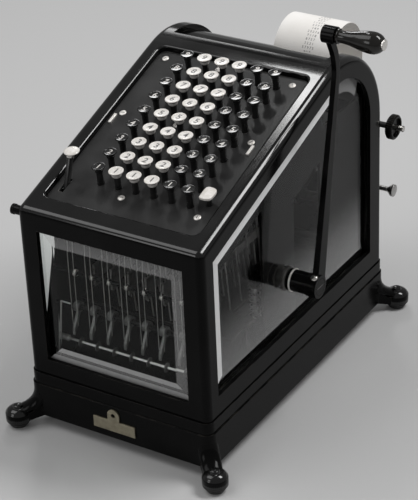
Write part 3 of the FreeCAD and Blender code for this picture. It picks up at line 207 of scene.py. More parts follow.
def finish_of(name, light, dark, rough, metallic=0.0, blotch=0.03, grain=0.0012, bump=0.05,
              edge=None, edge_width=0.0008, specular=0.5, round_edges=0.0007):
    mat, tree, shader = new_material(name)
    marks = use_group(tree, BLOTCH_AND_GRAIN, Blotch_Size=blotch, Grain_Size=grain)
    colour = mixed(tree, marks.outputs["Blotch"], dark, light)
    if edge:
        rub = use_group(tree, WORN_EDGE, Width=edge_width)
        colour = mixed(tree, rub.outputs["Mask"], colour, edge)
    tree.links.new(colour, shader.inputs["Base Color"])
    gloss = tree.nodes.new("ShaderNodeMapRange")
    gloss.inputs["To Min"].default_value = rough[0]
    gloss.inputs["To Max"].default_value = rough[1]
    tree.links.new(marks.outputs["Blotch"], gloss.inputs["Value"])
    tree.links.new(gloss.outputs["Result"], shader.inputs["Roughness"])
    shader.inputs["Metallic"].default_value = metallic
    shader.inputs["Specular IOR Level"].default_value = specular
    relief = tree.nodes.new("ShaderNodeBump")
    relief.inputs["Strength"].default_value = bump
    relief.inputs["Distance"].default_value = 0.0004
    tree.links.new(marks.outputs["Grain"], relief.inputs["Height"])
    if round_edges:
        soft = tree.nodes.new("ShaderNodeBevel")
        soft.samples = 4
        soft.inputs["Radius"].default_value = round_edges
        tree.links.new(soft.outputs["Normal"], relief.inputs["Normal"])
    tree.links.new(relief.outputs["Normal"], shader.inputs["Normal"])
    return mat


def polished_glass(name, tint, rough, through, glow=0.0, bend=1.24, painted_reflection_heights=None):
    """Clear glass; painted_reflection_heights gives the heights between which a coat of painted reflection on
    it fades away upwards.
    """
    mat, tree, shader = new_material(name)
    shader.inputs["Emission Color"].default_value = tint
    # glow makes the glass give off light of its own: painted glow.
    shader.inputs["Emission Strength"].default_value = glow
    shader.inputs["Base Color"].default_value = tint
    shader.inputs["Roughness"].default_value = rough
    shader.inputs["IOR"].default_value = bend
    shader.inputs["Specular Tint"].default_value = grey(0.4)
    shader.inputs["Transmission Weight"].default_value = through
    # A shiny coat low on the pane that fades upwards: painted reflection of the bright floor.
    if painted_reflection_heights:
        where = tree.nodes.new("ShaderNodeTexCoord")
        split = tree.nodes.new("ShaderNodeSeparateXYZ")
        fade = tree.nodes.new("ShaderNodeMapRange")
        fade.interpolation_type = "SMOOTHSTEP"
        fade.inputs["From Min"].default_value = painted_reflection_heights[1] * MM
        fade.inputs["From Max"].default_value = painted_reflection_heights[0] * MM
        shader.inputs["Coat IOR"].default_value = 1.9
        shader.inputs["Coat Roughness"].default_value = 0.06
        tree.links.new(where.outputs["Object"], split.inputs[0])
        tree.links.new(split.outputs["Z"], fade.inputs["Value"])
        tree.links.new(fade.outputs["Result"], shader.inputs["Coat Weight"])
    clear = tree.nodes.new("ShaderNodeBsdfTransparent")
    clear.inputs["Color"].default_value = (0.9, 0.92, 0.91, 1.0)
    path = tree.nodes.new("ShaderNodeLightPath")
    choose = tree.nodes.new("ShaderNodeMixShader")
    out = next(n for n in tree.nodes if n.type == "OUTPUT_MATERIAL")
    tree.links.new(path.outputs["Is Shadow Ray"], choose.inputs[0])
    tree.links.new(shader.outputs["BSDF"], choose.inputs[1])
    tree.links.new(clear.outputs["BSDF"], choose.inputs[2])
    tree.links.new(choose.outputs["Shader"], out.inputs["Surface"])
    return mat


PAPER_TURN_RATE = 7000.0


def wound_paper(name, centre):
    """Paper whose cut ends show the turns of the roll round its spindle."""
    mat, tree, shader = new_material(name)
    where = tree.nodes.new("ShaderNodeTexCoord")
    shift = tree.nodes.new("ShaderNodeVectorMath")
    shift.operation = "SUBTRACT"
    shift.inputs[1].default_value = centre * MM
    flat = tree.nodes.new("ShaderNodeVectorMath")
    flat.operation = "MULTIPLY"
    flat.inputs[1].default_value = (0.0, 1.0, 1.0)
    reach = tree.nodes.new("ShaderNodeVectorMath")
    reach.operation = "LENGTH"
    turns = tree.nodes.new("ShaderNodeMath")
    turns.operation = "MULTIPLY"
    turns.inputs[1].default_value = PAPER_TURN_RATE
    wave = tree.nodes.new("ShaderNodeMath")
    wave.operation = "SINE"
    spread = tree.nodes.new("ShaderNodeMapRange")
    spread.inputs["From Min"].default_value = -1.0
    tree.links.new(where.outputs["Object"], shift.inputs[0])
    tree.links.new(shift.outputs[0], flat.inputs[0])
    tree.links.new(flat.outputs[0], reach.inputs[0])
    tree.links.new(reach.outputs["Value"], turns.inputs[0])
    tree.links.new(turns.outputs[0], wave.inputs[0])
    tree.links.new(wave.outputs[0], spread.inputs["Value"])
    colour = mixed(tree, spread.outputs["Result"], grey(0.62, 0.03), grey(0.82, 0.02))
    tree.links.new(colour, shader.inputs["Base Color"])
    shader.inputs["Roughness"].default_value = 0.85
    return mat


ENAMEL = finish_of(
    "black_baked_enamel", grey(0.004), grey(0.002), (0.1, 0.2), blotch=0.05, grain=0.0016, bump=0.02,
    edge=grey(0.05, 0.1), specular=0.08,
)
POLISHED_ENAMEL = finish_of(
    "polished_enamel_edge", grey(0.005), grey(0.003), (0.09, 0.16), blotch=0.05, grain=0.0016, bump=0.02,
    round_edges=0,
)
PLATE_PAINT = finish_of(
    "satin_plate_paint", grey(0.022), grey(0.012), (0.3, 0.42), blotch=0.03, grain=0.0007, bump=0.08,
    edge=grey(0.2, 0.05), specular=0.3,
)
INNER_BLACK = finish_of(
    "inner_black_steel", grey(0.006), grey(0.003), (0.4, 0.55), blotch=0.03, grain=0.001, bump=0.05,
    edge=grey(0.2, 0.04), edge_width=0.0006, specular=0.06,
)
DULL_NICKEL = finish_of(
    "dull_nickel", grey(0.82, 0.03), grey(0.68, 0.04), (0.38, 0.5), metallic=0.6, blotch=0.006, grain=0.0005,
    bump=0.03,
)
NICKEL = finish_of(
    "polished_nickel", grey(0.74, 0.03), grey(0.52, 0.04), (0.14, 0.32), metallic=1.0, blotch=0.008,
    grain=0.0005, bump=0.03,
)
STEEL = finish_of(
    "drawn_steel", grey(0.5, 0.01), grey(0.3, 0.02), (0.25, 0.45), metallic=1.0, blotch=0.01,
    grain=0.0004, bump=0.06,
)
DARK_STEEL = finish_of(
    "oiled_steel", grey(0.14, 0.02), grey(0.06, 0.03), (0.3, 0.5), metallic=0.9, blotch=0.006,
    grain=0.0004, bump=0.06,
)
DISC_STEEL = finish_of(
    "turned_disc_steel", grey(0.16, 0.01), grey(0.1, 0.02), (0.3, 0.4), metallic=0.5, blotch=0.006,
    grain=0.0004, bump=0.03, round_edges=0,
)
PAWL_STEEL = finish_of(
    "ground_pawl_steel", grey(0.12, 0.01), grey(0.07, 0.02), (0.35, 0.5), metallic=0.4, blotch=0.006,
    grain=0.0004, bump=0.05,
)
BRASS = finish_of(
    "dull_brass", (0.44, 0.4, 0.3, 1.0), (0.3, 0.27, 0.2, 1.0), (0.36, 0.58), metallic=1.0,
    blotch=0.006, grain=0.0006, bump=0.08,
)
WHITE_CAP = finish_of(
    "white_celluloid", grey(0.74, 0.03), grey(0.65, 0.05), (0.2, 0.34), blotch=0.006, grain=0.0006,
    bump=0.02, round_edges=0,
)
# The dished face of the white caps is a darker copy of the white celluloid: painted shade in the dish.
WHITE_SHADE = finish_of(
    "white_celluloid_face_painted_shade", grey(0.68, 0.03), grey(0.6, 0.05), (0.2, 0.34), blotch=0.006, grain=0.0006,
    bump=0.02, round_edges=0,
)
DARK_CAP = finish_of(
    "dark_celluloid", grey(0.01), grey(0.006), (0.08, 0.16), blotch=0.01, grain=0.0006, bump=0.02,
    round_edges=0,
)
CAP_RING = finish_of(
    "cap_ring_pale", grey(0.66, 0.03), grey(0.54, 0.03), (0.3, 0.45), blotch=0.006, grain=0.0005,
    round_edges=0,
)
STEM_BLACK = finish_of(
    "blued_stem", grey(0.012), grey(0.006), (0.25, 0.4), blotch=0.01, grain=0.0006, round_edges=0,
)
WIRE_STEEL = finish_of(
    "bright_wire", grey(0.75, 0.01), grey(0.6, 0.02), (0.35, 0.45), metallic=0.4, blotch=0.004, grain=0.0004,
    round_edges=0,
)
STOP_STEEL = finish_of(
    "stop_wire_steel", grey(0.28, 0.01), grey(0.18, 0.02), (0.35, 0.45), metallic=0.5, blotch=0.004,
    grain=0.0004, round_edges=0,
)
INK_DARK = finish_of("numeral_ink", grey(0.06), grey(0.04), (0.3, 0.4), blotch=0.004, round_edges=0)
INK_LIGHT = finish_of(
    "numeral_white", grey(0.7, 0.03), grey(0.56, 0.04), (0.4, 0.5), blotch=0.004, round_edges=0,
)
RUBBER = finish_of("black_rubber", grey(0.02), grey(0.012), (0.5, 0.7), blotch=0.01, grain=0.0008, bump=0.2)
LACQUER = finish_of(
    "black_lacquered_wood", grey(0.012, 0.1), grey(0.006, 0.1), (0.08, 0.16), blotch=0.012, grain=0.0015,
    bump=0.02, specular=0.4, round_edges=0,
)
PAPER = finish_of(
    "ledger_paper", grey(0.84, 0.02), grey(0.78, 0.03), (0.75, 0.9), blotch=0.03, grain=0.0006, bump=0.1,
    round_edges=0,
)
ROLL_PAPER = wound_paper("wound_ledger_paper", ROLL_AT)
PAPER_INK = finish_of("printed_figures", grey(0.3), grey(0.2), (0.8, 0.9), blotch=0.004, round_edges=0)
GLASS = polished_glass("bevelled_plate_glass", (0.96, 0.98, 0.97, 1.0), 0.0, 1.0)
# The right pane carries a coat low down that fades upwards: painted reflection of the bright floor.
GLASS_PAINTED_REFLECTION = polished_glass("glass_painted_reflection", grey(0.92), 0.02, 1.0, bend=1.12, painted_reflection_heights=(85, 165))
# Bevel strip looks: glass made paler and less clear, and the first one also glows. These are painted
# highlight, glow and reflection in the bevels.
PAINTED_GLOW_BORDER = polished_glass("glass_border_painted_glow", grey(0.86), 0.15, 0.2, 0.08)
PAINTED_VEIL_BORDER = polished_glass("glass_border_painted_veil", grey(0.92), 0.05, 0.8)
PAINTED_GREY_BORDER = polished_glass("glass_border_painted_grey", grey(0.92), 0.1, 0.55)

NODE_FINISH = [
    (ENAMEL, "base_casting case_frame side_peg crank_arm crank_hub left_bracket right_bracket rear_panel"),
    (PLATE_PAINT, "key_plate"),
    (INNER_BLACK, "key_guide_plate base_pan dash_pot right_side_plate lower_comb main_shaft"),
    (INNER_BLACK, "plate_pillars tie_rods"),
    (RUBBER, "rubber_feet platen"),
    (NICKEL, "grip_spindle"),
    (STEEL, "clamp_screw dash_piston roll_spindle tear_bar ribbon_spools"),
    (PAWL_STEEL, "carry_pawls"),
    (DARK_STEEL, "sector_shaft sector_1 sector_2 sector_3 sector_4 sector_5 sector_6"),
    (BRASS, "lock_plate"),
    (PAPER, "paper_strip"),
]
for material, names in NODE_FINISH:
    for name in names.split():
        nodes[name].data.materials.clear()
        nodes[name].data.materials.append(material)

# The castings are polished where they slope or round over upwards, between steep and level

STEEP = 0.35
LEVEL = 0.985
for name in ("case_frame", "base_casting"):
    mesh = nodes[name].data
    mesh.materials.append(POLISHED_ENAMEL)
    for face in mesh.polygons:
        if STEEP < face.normal.z < LEVEL:
            face.material_index = 1


# Mesh helpers: every piece is shaped in millimetres and scaled once


def piece(name, bm, body, material, replaced=(), angle=35.0):
    bmesh.ops.scale(bm, vec=(MM, MM, MM), verts=bm.verts)
    mesh = bpy.data.meshes.new(name)
    bm.to_mesh(mesh)
    bm.free()
    mesh.polygons.foreach_set("use_smooth", [True] * len(mesh.polygons))
    mesh.set_sharp_from_angle(angle=math.radians(angle))
    mesh.materials.append(material)
    obj = bpy.data.objects.new(name, mesh)
    bpy.context.scene.collection.objects.link(obj)
    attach(obj, body)
    if replaced:
        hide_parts(*replaced)
    return obj


def edges_of(verts):
    return list(dict.fromkeys(e for v in verts for e in v.link_edges))


def verts_in(geom):
    return [g for g in geom if isinstance(g, bmesh.types.BMVert)]


def settle(verts):
    """Marks points that are in place, so that the next shape of the same piece leaves them there."""
    for v in verts:
        v.tag = True


def turned(bm, profile, place, steps=32):
    """A lathe shape from (radius, height) pairs, turned round its own Z and put in place."""
    verts = [bm.verts.new((radius, 0.0, height)) for radius, height in profile]
    edges = [bm.edges.new(pair) for pair in zip(verts, verts[1:])]
    bmesh.ops.spin(
        bm, geom=verts + edges, cent=(0, 0, 0), axis=(0, 0, 1),
        angle=2 * math.pi, steps=steps, use_merge=True,
    )
    bmesh.ops.remove_doubles(bm, verts=[v for v in bm.verts if not v.tag], dist=0.0005)
    fresh = [v for v in bm.verts if not v.tag]
    faces = list(dict.fromkeys(f for v in fresh for f in v.link_faces))
    bmesh.ops.recalc_face_normals(bm, faces=faces)
    bmesh.ops.transform(bm, matrix=place, verts=fresh)
    settle(fresh)


def block(bm, size, place, round_over=0.0):
    """An oblong block about the middle of its place, with its edges rounded over."""
    made = bmesh.ops.create_cube(bm, size=1.0, matrix=place @ Matrix.Diagonal(Vector(size).to_4d()))
    if round_over:
        made = bmesh.ops.bevel(
            bm, geom=edges_of(made["verts"]), offset=round_over, offset_type="OFFSET", affect="EDGES",
            segments=3, profile=0.5, material=-1,
        )
    settle(made["verts"])
    for face in made.get("faces", []):
        settle(face.verts)


def facing(axis):
    return Vector(axis).to_track_quat("Z", "Y").to_matrix().to_4x4()


def key_centre(row, column):
    x = KEY_X + (column - (COLUMNS - 1) / 2) * COL_PITCH
    step = (row - 5) * ROW_PITCH
    return Vector((x, MID_ROW.y + step, MID_ROW.z + step * math.tan(KEY_SLOPE)))


def key_place(row, column):
    return Matrix.Translation(key_centre(row, column)) @ Matrix.Rotation(KEY_TILT, 4, "X")


def glyph_mesh(text, size, depth, weight):
    curve = bpy.data.curves.new("glyph_" + text, "FONT")
    curve.body = text
    curve.size = size
    curve.extrude = depth
    curve.offset = weight
    curve.align_x = "CENTER"
    curve.align_y = "CENTER"
    curve.resolution_u = 3
    holder = bpy.data.objects.new("glyph_" + text, curve)
    bpy.context.scene.collection.objects.link(holder)
    bpy.context.view_layer.update()
    mesh = bpy.data.meshes.new_from_object(holder.evaluated_get(bpy.context.evaluated_depsgraph_get()))
    bpy.data.objects.remove(holder)
    return mesh


def stamp(bm, mesh, place):
    before = set(bm.verts)
    bm.from_mesh(mesh)
    fresh = [v for v in bm.verts if v not in before]
    bmesh.ops.transform(bm, matrix=place, verts=fresh)
    settle(fresh)


# Keys: a dished cap on a bevelled ring, a numeral on it, and a stem down to the comb

CAP_H = 1.15
NECK_END = 3.4
RING_END = 6.4
SLEEVE_END = 25.5
SLEEVE_R = 3.0
WIRE_R = 0.7
COMB_Z = 105.0
NUMERAL_SIZE = 9.8
NUMERAL_T = 0.04
NUMERAL_WEIGHT = 0.08


def cap_profile(radius):
    return [
        (radius * 0.8, -0.3), (radius * 0.84, -0.06), (radius * 0.91, 0.0), (radius * 0.97, -0.08),
        (radius, -0.32), (radius, -CAP_H + 0.25), (radius - 0.3, -CAP_H), (0.0, -CAP_H),
    ]


def face_profile(radius):
    return [(0.0, -0.5), (radius * 0.5, -0.46), (radius * 0.81, -0.28), (radius * 0.81, -1.0), (0.0, -1.0)]


def ring_profile(radius):
    outer = radius - 2.3
    return [
        (0.0, -NECK_END), (outer - 0.3, -NECK_END), (outer, -NECK_END - 0.3), (outer - 0.2, -RING_END + 0.9),
        (outer - 0.9, -RING_END), (0.0, -RING_END),
    ]


def sleeve_profile(radius):
    neck = radius - 2.6
    return [
        (0.0, -CAP_H - 0.02), (neck, -CAP_H - 0.02), (neck, -NECK_END + 0.02), (SLEEVE_R, -NECK_END + 0.02),
        (SLEEVE_R, -SLEEVE_END + 0.4), (SLEEVE_R - 0.4, -SLEEVE_END), (0.0, -SLEEVE_END),
    ]


def wire_profile(length):
    return [(0.0, -SLEEVE_END - 0.02), (WIRE_R, -SLEEVE_END - 0.02), (WIRE_R, -length), (0.0, -length)]


def make_key_rows():
    finish = {
        "white": WHITE_CAP, "white_face": WHITE_SHADE, "dark": DARK_CAP, "dark_face": DARK_CAP,
        "white_ring": CAP_RING, "dark_ring": STEM_BLACK, "sleeve": STEM_BLACK, "wire": STOP_STEEL,
        "ink": INK_DARK, "chalk": INK_LIGHT,
    }
    for row in range(1, ROWS + 1):
        parts = {word: bmesh.new() for word in finish}
        figure = glyph_mesh(str(row), NUMERAL_SIZE, NUMERAL_T, NUMERAL_WEIGHT)
        for column in range(COLUMNS):
            kind = "white" if column in WHITE_COLUMNS else "dark"
            place = key_place(row, column)
            radius = CAP_R[kind]
            turned(parts[kind], cap_profile(radius), place, 36)
            turned(parts[kind + "_face"], face_profile(radius), place, 36)
            turned(parts[kind + "_ring"], ring_profile(radius), place, 28)
            turned(parts["sleeve"], sleeve_profile(radius), place, 20)
            length = (key_centre(row, column).z - COMB_Z + 2) / math.cos(KEY_TILT)
            turned(parts["wire"], wire_profile(length), place, 8)
            scale = radius / CAP_R["white"]
            lift = Matrix.Translation((0, 0, -0.4)) @ Matrix.Scale(scale, 4)
            stamp(parts["ink" if kind == "white" else "chalk"], figure, place @ lift)
        body = "key_row_%d_keys" % row
        for word, material in finish.items():
            replaced = ["key_row_%d" % row] if word == "white" else []
            piece("key_%s_%d" % (word, row), parts[word], body, material, replaced)


make_key_rows()


# Total lever at the left and repeat key at the right

LEVER_T = 3.9
LEVER_W = 5.9
PIVOT_R = 4.4
LEVER_BAR = LEVER_LEN - 8.0


def make_total_lever():
    lean = Matrix.Translation(LEVER_AT) @ Matrix.Rotation(-LEVER_LEAN, 4, "X")
    arm = bmesh.new()
    block(arm, (LEVER_T, LEVER_W, LEVER_BAR), lean @ Matrix.Translation((0, 0, LEVER_BAR / 2)), 0.7)
    pivot = Matrix.Translation(LEVER_AT) @ facing((1, 0, 0))
    half = LEVER_T / 2
    turned(arm, [(0, -half), (PIVOT_R, -half), (PIVOT_R, half), (0, half)], pivot, 24)
    piece("total_lever_arm", arm, "total", STEM_BLACK, ["total_lever"])
    collar = bmesh.new()
    high = lean @ Matrix.Translation((0, 0, LEVER_BAR))
    turned(collar, [(0, 0), (3.2, 0), (3.4, 0.5), (3.4, 2.4), (2.6, 3.0), (2.6, 4.6), (0, 4.6)], high, 24)
    piece("total_lever_collar", collar, "total", NICKEL)
    cap = bmesh.new()
    top = LEVER_AT + Vector((0, LEVER_LEN * math.sin(LEVER_LEAN), LEVER_LEN * math.cos(LEVER_LEAN)))
    seat = Matrix.Translation(top) @ Matrix.Rotation(KEY_TILT, 4, "X")
    dome = [
        (0, -0.3), (3.0, -0.4), (5.2, -0.7), (6.8, -1.2),
        (7.5, -1.9), (7.3, -2.5), (5.6, -3.0), (0, -3.0),
    ]
    turned(cap, dome, seat, 36)
    piece("total_lever_cap", cap, "total", WHITE_CAP)


REPEAT_EDGE = [
    (-4.9, -8.0), (-5.6, -3.6), (-6.2, 0.6), (-6.6, 4.6), (-6.4, 7.4), (-4.8, 9.0), (-2.4, 9.25), (0.6, 9.0),
    (3.4, 8.0), (5.2, 5.8), (6.1, 2.4), (6.4, -1.2), (6.4, -4.8), (5.8, -7.2), (4.2, -8.6), (1.8, -9.25),
    (-1.2, -9.25), (-3.4, -8.9),
]
REPEAT_FOOT = -2.4
REPEAT_T = 1.8
REPEAT_RIM = 1.1
REPEAT_CROWN = 0.55
REPEAT_STEM = [(0, -2.42), (4.2, -2.42), (3.4, -4.6), (2.5, -5.2), (2.5, -40), (0, -40)]


def make_repeat_key():
    seat = Matrix.Translation(REPEAT_AT) @ Matrix.Rotation(KEY_TILT, 4, "X")
    cap = bmesh.new()
    base = cap.faces.new([cap.verts.new((x, y, REPEAT_FOOT)) for x, y in REPEAT_EDGE])
    made = bmesh.ops.extrude_face_region(cap, geom=[base])
    bmesh.ops.translate(cap, vec=(0, 0, REPEAT_T), verts=verts_in(made["geom"]))
    face = [g for g in made["geom"] if isinstance(g, bmesh.types.BMFace)]
    bmesh.ops.inset_region(cap, faces=face, thickness=REPEAT_RIM, use_even_offset=True)
    bmesh.ops.translate(cap, vec=(0, 0, REPEAT_CROWN), verts=face[0].verts)
    bmesh.ops.recalc_face_normals(cap, faces=cap.faces)
    bmesh.ops.transform(cap, matrix=seat, verts=cap.verts)
    piece("repeat_key_cap", cap, "repeat", WHITE_CAP, ["repeat_key"], 25.0)
    stem = bmesh.new()
    turned(stem, REPEAT_STEM, seat, 20)
    piece("repeat_key_stem", stem, "repeat", STEM_BLACK)


make_total_lever()
make_repeat_key()


# Slotted screws on the key plate and short bars in its slots

SCREW_SPOTS = [
    (-71.4, 45.5), (-12.05, 45.5), (67.8, 45.5), (-71.4, -31.13), (-12.05, -31.13), (67.8, -31.13),
    (-12.05, -126.0), (67.8, -126.0),
]
SCREW_R = 3.4
SCREW_H = 1.1
SLOT_W = 0.6
SLOT_T = 0.5
SLOT_SINK = 0.22
SLOT_BARS = [(-76.7, -40.6), (72.3, -40.6)]
SLOT_BAR_SIZE = (3.0, 12.4, 3.0)


def on_plate(x, y):
    return Matrix.Translation((x, y, case_top(y) - PLATE_DROP)) @ Matrix.Rotation(SLOPE, 4, "X")


def slotted_screw(heads, slots, place, radius, height):
    dome = [
        (0, height), (radius * 0.5, height * 0.95),
        (radius * 0.85, height * 0.7), (radius, height * 0.35),
    ]
    turned(heads, dome + [(radius, 0.02), (0, 0.02)], place, 28)
    block(slots, (radius * 1.2, SLOT_W, SLOT_T), place @ Matrix.Translation((0, 0, height - SLOT_SINK)))


def make_screws():
    heads = bmesh.new()
    slots = bmesh.new()
    for x, y in SCREW_SPOTS:
        turn = Matrix.Rotation(random.uniform(0, math.pi), 4, "Z")
        slotted_screw(heads, slots, on_plate(x, y) @ turn, SCREW_R, SCREW_H)
    piece("plate_screw_heads", heads, "case", DULL_NICKEL, ["key_plate_screws"])
    piece("plate_screw_slots", slots, "case", STEM_BLACK)
    bars = bmesh.new()
    for x, y in SLOT_BARS:
        block(bars, SLOT_BAR_SIZE, on_plate(x, y) @ Matrix.Translation((0, 0, 0.4)), 0.5)
    piece("slot_bars", bars, "case", DULL_NICKEL)


make_screws()


# Crank: bushing and rings round its shaft, set screw and end screw of the eye, turned grip

BUSH_BORE = 7.06
TUBE_R = 11.0
TUBE_LEN = SHAFT_AT.x - 80.0
COLLAR_R = 12.3
SET_SCREW_TURN = math.radians(20)
SET_SCREW_R = 3.5
SET_SCREW_H = 3.0
END_SCREW = [(0, 3.0), (8.0, 3.0), (8.45, 2.6), (8.45, 0.02), (0, 0.02)]
END_SLOT = (11.0, 1.4, 0.4)


def make_bushing():
    """The dark tube and ring round the crank shaft at the glass, and the bright ring on the hub."""
    face = Matrix.Translation(SHAFT_AT) @ facing((1, 0, 0))
    tube = bmesh.new()
    collar = [(TUBE_R, 0.01), (COLLAR_R, 0.01), (COLLAR_R, 0.9), (BUSH_BORE, 0.9), (BUSH_BORE, -TUBE_LEN)]
    turned(tube, [(BUSH_BORE, -TUBE_LEN), (TUBE_R, -TUBE_LEN)] + collar, face, 48)
    piece("bushing_tube", tube, "case", DARK_STEEL, ["crank_bushing"])
    ring = bmesh.new()
    rounding = [(11.8, 0.92), (11.8, 2.0), (11.2, 2.5), (10.4, 3.2)]
    turned(ring, [(BUSH_BORE, 0.92)] + rounding + [(BUSH_BORE, 3.2), (BUSH_BORE, 0.92)], face, 56)
    piece("bushing_ring", ring, "case", DARK_STEEL)
    hub = nodes["crank_hub"].dimensions.y / MM / 2
    band = bmesh.new()
    low, high = hub - 0.4, hub + 0.8
    outer = [(hub + 0.5, 7.0), (high, 7.4), (high, 8.4), (hub + 0.5, 8.8)]
    turned(band, [(low, 7.0)] + outer + [(low, 8.8), (low, 7.0)], face, 56)
    piece("hub_ring", band, "crank", DULL_NICKEL)


def make_crank_details():
    turn = Matrix.Rotation(SET_SCREW_TURN, 4, "X")
    eye_place = Matrix.Translation((ARM_X + 4, SHAFT_AT.y, SHAFT_AT.z))
    set_place = eye_place @ turn @ Matrix.Translation((0, 0, EYE_R - 1))
    heads = bmesh.new()
    slots = bmesh.new()
    slotted_screw(heads, slots, set_place, SET_SCREW_R, SET_SCREW_H)
    piece("set_screw_head", heads, "crank", NICKEL, ["hub_screws"])
    end_place = Matrix.Translation((ARM_X + 5, SHAFT_AT.y, SHAFT_AT.z)) @ facing((1, 0, 0))
    end = bmesh.new()
    turned(end, END_SCREW, end_place, 40)
    block(slots, END_SLOT, end_place @ Matrix.Translation((0, 0, 2.85)))
    piece("end_screw_head", end, "crank", ENAMEL)
    piece("crank_screw_slots", slots, "crank", STEM_BLACK)


GRIP_SHAPE = [
    (0.0, 0.62), (0.012, 0.68), (0.05, 0.7), (0.065, 0.58), (0.1, 0.56), (0.17, 0.565), (0.25, 0.6),
    (0.33, 0.66), (0.42, 0.75), (0.52, 0.86), (0.62, 0.94), (0.7, 0.985), (0.78, 1.0), (0.85, 0.97),
    (0.91, 0.89), (0.955, 0.78), (0.985, 0.66), (1.0, 0.58),
]


def make_grip():
    grip = bmesh.new()
    place = Matrix.Translation(GRIP_AT) @ facing((1, 0, 0))
    sides = [(share * GRIP_R, reach * GRIP_LEN) for reach, share in GRIP_SHAPE]
    turned(grip, [(0.0, 0.0)] + sides + [(0.0, GRIP_LEN)], place, 48)
    piece("turned_grip", grip, "grip", LACQUER, ["crank_grip"], 50.0)


# Feet: a smooth flare from each corner of the base and a bun with a domed button

FOOT_AT = (110.0, 182.0)
CORNER_AT = (90.5, 162.5)
FLARE = [
    (42.0, 0.0, 9.6), (37.0, 0.01, 9.8), (33.0, 0.03, 9.9), (29.0, 0.09, 10.0), (25.5, 0.19, 9.9),
    (22.5, 0.33, 9.6), (20.0, 0.51, 9.2), (18.0, 0.72, 8.8), (15.5, 0.94, 8.6), (9.0, 1.0, 8.6),
]
BUN = [
    (0, 6.2), (12.1, 6.2), (12.25, 9), (12.1, 13), (11.1, 16.5), (9, 18.6), (6, 19.6), (5, 19.8), (4.9, 20.2),
    (4.2, 21.8), (2, 22.8), (0, 23),
]


def make_feet():
    flares = bmesh.new()
    buns = bmesh.new()
    for side in (-1, 1):
        for end in (-1, 1):
            toe = Vector((side * FOOT_AT[0], end * FOOT_AT[1], 0))
            corner = Vector((side * CORNER_AT[0], end * CORNER_AT[1], 0))
            before = None
            for n, (height, reach, radius) in enumerate(FLARE):
                place = Matrix.Translation(corner.lerp(toe, reach) + Vector((0, 0, height)))
                ring = bmesh.ops.create_circle(
                    flares, cap_ends=n in (0, len(FLARE) - 1), radius=radius, segments=32, matrix=place,
                )
                edges = edges_of(ring["verts"])
                if before:
                    bmesh.ops.bridge_loops(flares, edges=before + edges)
                before = edges
            turned(buns, BUN, Matrix.Translation(toe), 40)
    bmesh.ops.recalc_face_normals(flares, faces=flares.faces)
    piece("foot_flares", flares, "case", ENAMEL, angle=60.0)
    piece("foot_buns", buns, "case", POLISHED_ENAMEL)


make_feet()
make_bushing()
make_crank_details()
make_grip()


# Paper carriage: knurled platen knob, figures printed on the strip, and the paper roll

KNOB_BORE = 3.05
KNOB_RIDGES = 36
PIN_END = 15.05
LINE_STEP = 4.4
LINES_BELOW = 6
FIGURE_SIZE = 3.6
FIGURE_T = 0.01
FIGURE_WEIGHT = 0.05
INK_LIFT = 0.02
INK_SHIFT = 6.0


def make_knob():
    knob = bmesh.new()
    place = Matrix.Translation((KNOB_X, PLATEN_AT.y, PLATEN_AT.z)) @ facing((1, 0, 0))
    dish = KNOB_R - 3
    floor = KNOB_T - 2.4
    rim = [
        (KNOB_R - 1.4, 0.0), (KNOB_R - 0.5, 0.9), (KNOB_R - 0.5, KNOB_T - 0.9), (KNOB_R - 1.4, KNOB_T),
        (dish, KNOB_T), (dish - 0.6, floor),
    ]
    turned(knob, [(KNOB_BORE, 0.0)] + rim + [(KNOB_BORE, floor), (KNOB_BORE, 0.0)], place, 56)
    for n in range(KNOB_RIDGES):
        turn = Matrix.Rotation(2 * math.pi * n / KNOB_RIDGES, 4, "Z")
        ridge = Matrix.Translation((KNOB_R - 0.5, 0, KNOB_T / 2))
        block(knob, (1.0, 1.1, KNOB_T - 2.0), place @ turn @ ridge, 0.25)
    piece("knurled_knob", knob, "platen_roller", ENAMEL, ["platen_knob"])
    pin = bmesh.new()
    start = KNOB_T - 2.3
    tip = [(0, PIN_END), (2.4, PIN_END), (KNOB_BORE, PIN_END - 0.55)]
    turned(pin, tip + [(KNOB_BORE, start), (0, start)], place, 24)
    piece("platen_pin_end", pin, "platen_roller", NICKEL)


def make_printing():
    ink = bmesh.new()
    lines = int(math.pi * ARCH_R / LINE_STEP) + LINES_BELOW
    for n in range(lines):
        digits = random.choice((3, 4, 4, 5))
        figures = " ".join(str(random.randint(0, 9)) for _ in range(digits))
        mesh = glyph_mesh(figures, FIGURE_SIZE, FIGURE_T, FIGURE_WEIGHT)
        climb = (n + 0.5 - LINES_BELOW) * LINE_STEP
        if climb < 0:
            rise = ARCH_AT + Vector((0, -ARCH_R - INK_LIFT, climb))
            place = Matrix.Translation(rise) @ facing((0, -1, 0))
        else:
            turn = math.pi - climb / ARCH_R
            up = Vector((0, math.sin(turn), -math.cos(turn)))
            out = Vector((0, math.cos(turn), math.sin(turn)))
            axes = Matrix((Vector((1, 0, 0)), up, out)).transposed().to_4x4()
            place = Matrix.Translation(ARCH_AT + out * (ARCH_R + INK_LIFT)) @ axes
        stamp(ink, mesh, place @ Matrix.Translation((INK_SHIFT, 0, 0)))
        bpy.data.meshes.remove(mesh)
    piece("printed_figures", ink, "case", PAPER_INK)


ROLL_PLAY = 0.3


def make_wound_roll():
    low, high = (Vector(corner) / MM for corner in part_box("paper_roll"))
    reach = (high.x - low.x) / 2
    radius = (high.z - low.z) / 2 - ROLL_PLAY
    core = nodes["roll_spindle"].dimensions.z / MM / 2 + 0.08
    half = [(core, -reach), (radius - 0.4, -reach), (radius, 0.4 - reach)]
    profile = half + [(r, -height) for r, height in reversed(half)] + half[:1]
    roll = bmesh.new()
    turned(roll, profile, Matrix.Translation((low + high) / 2) @ facing((1, 0, 0)), 96)
    piece("wound_roll", roll, "roll", ROLL_PAPER, ["paper_roll"])


# Return spring on the dash pot: a coil of wire

SPRING_TURNS = 6
SPRING_STEPS = SPRING_TURNS * 28
SPRING_WIRE = 0.6


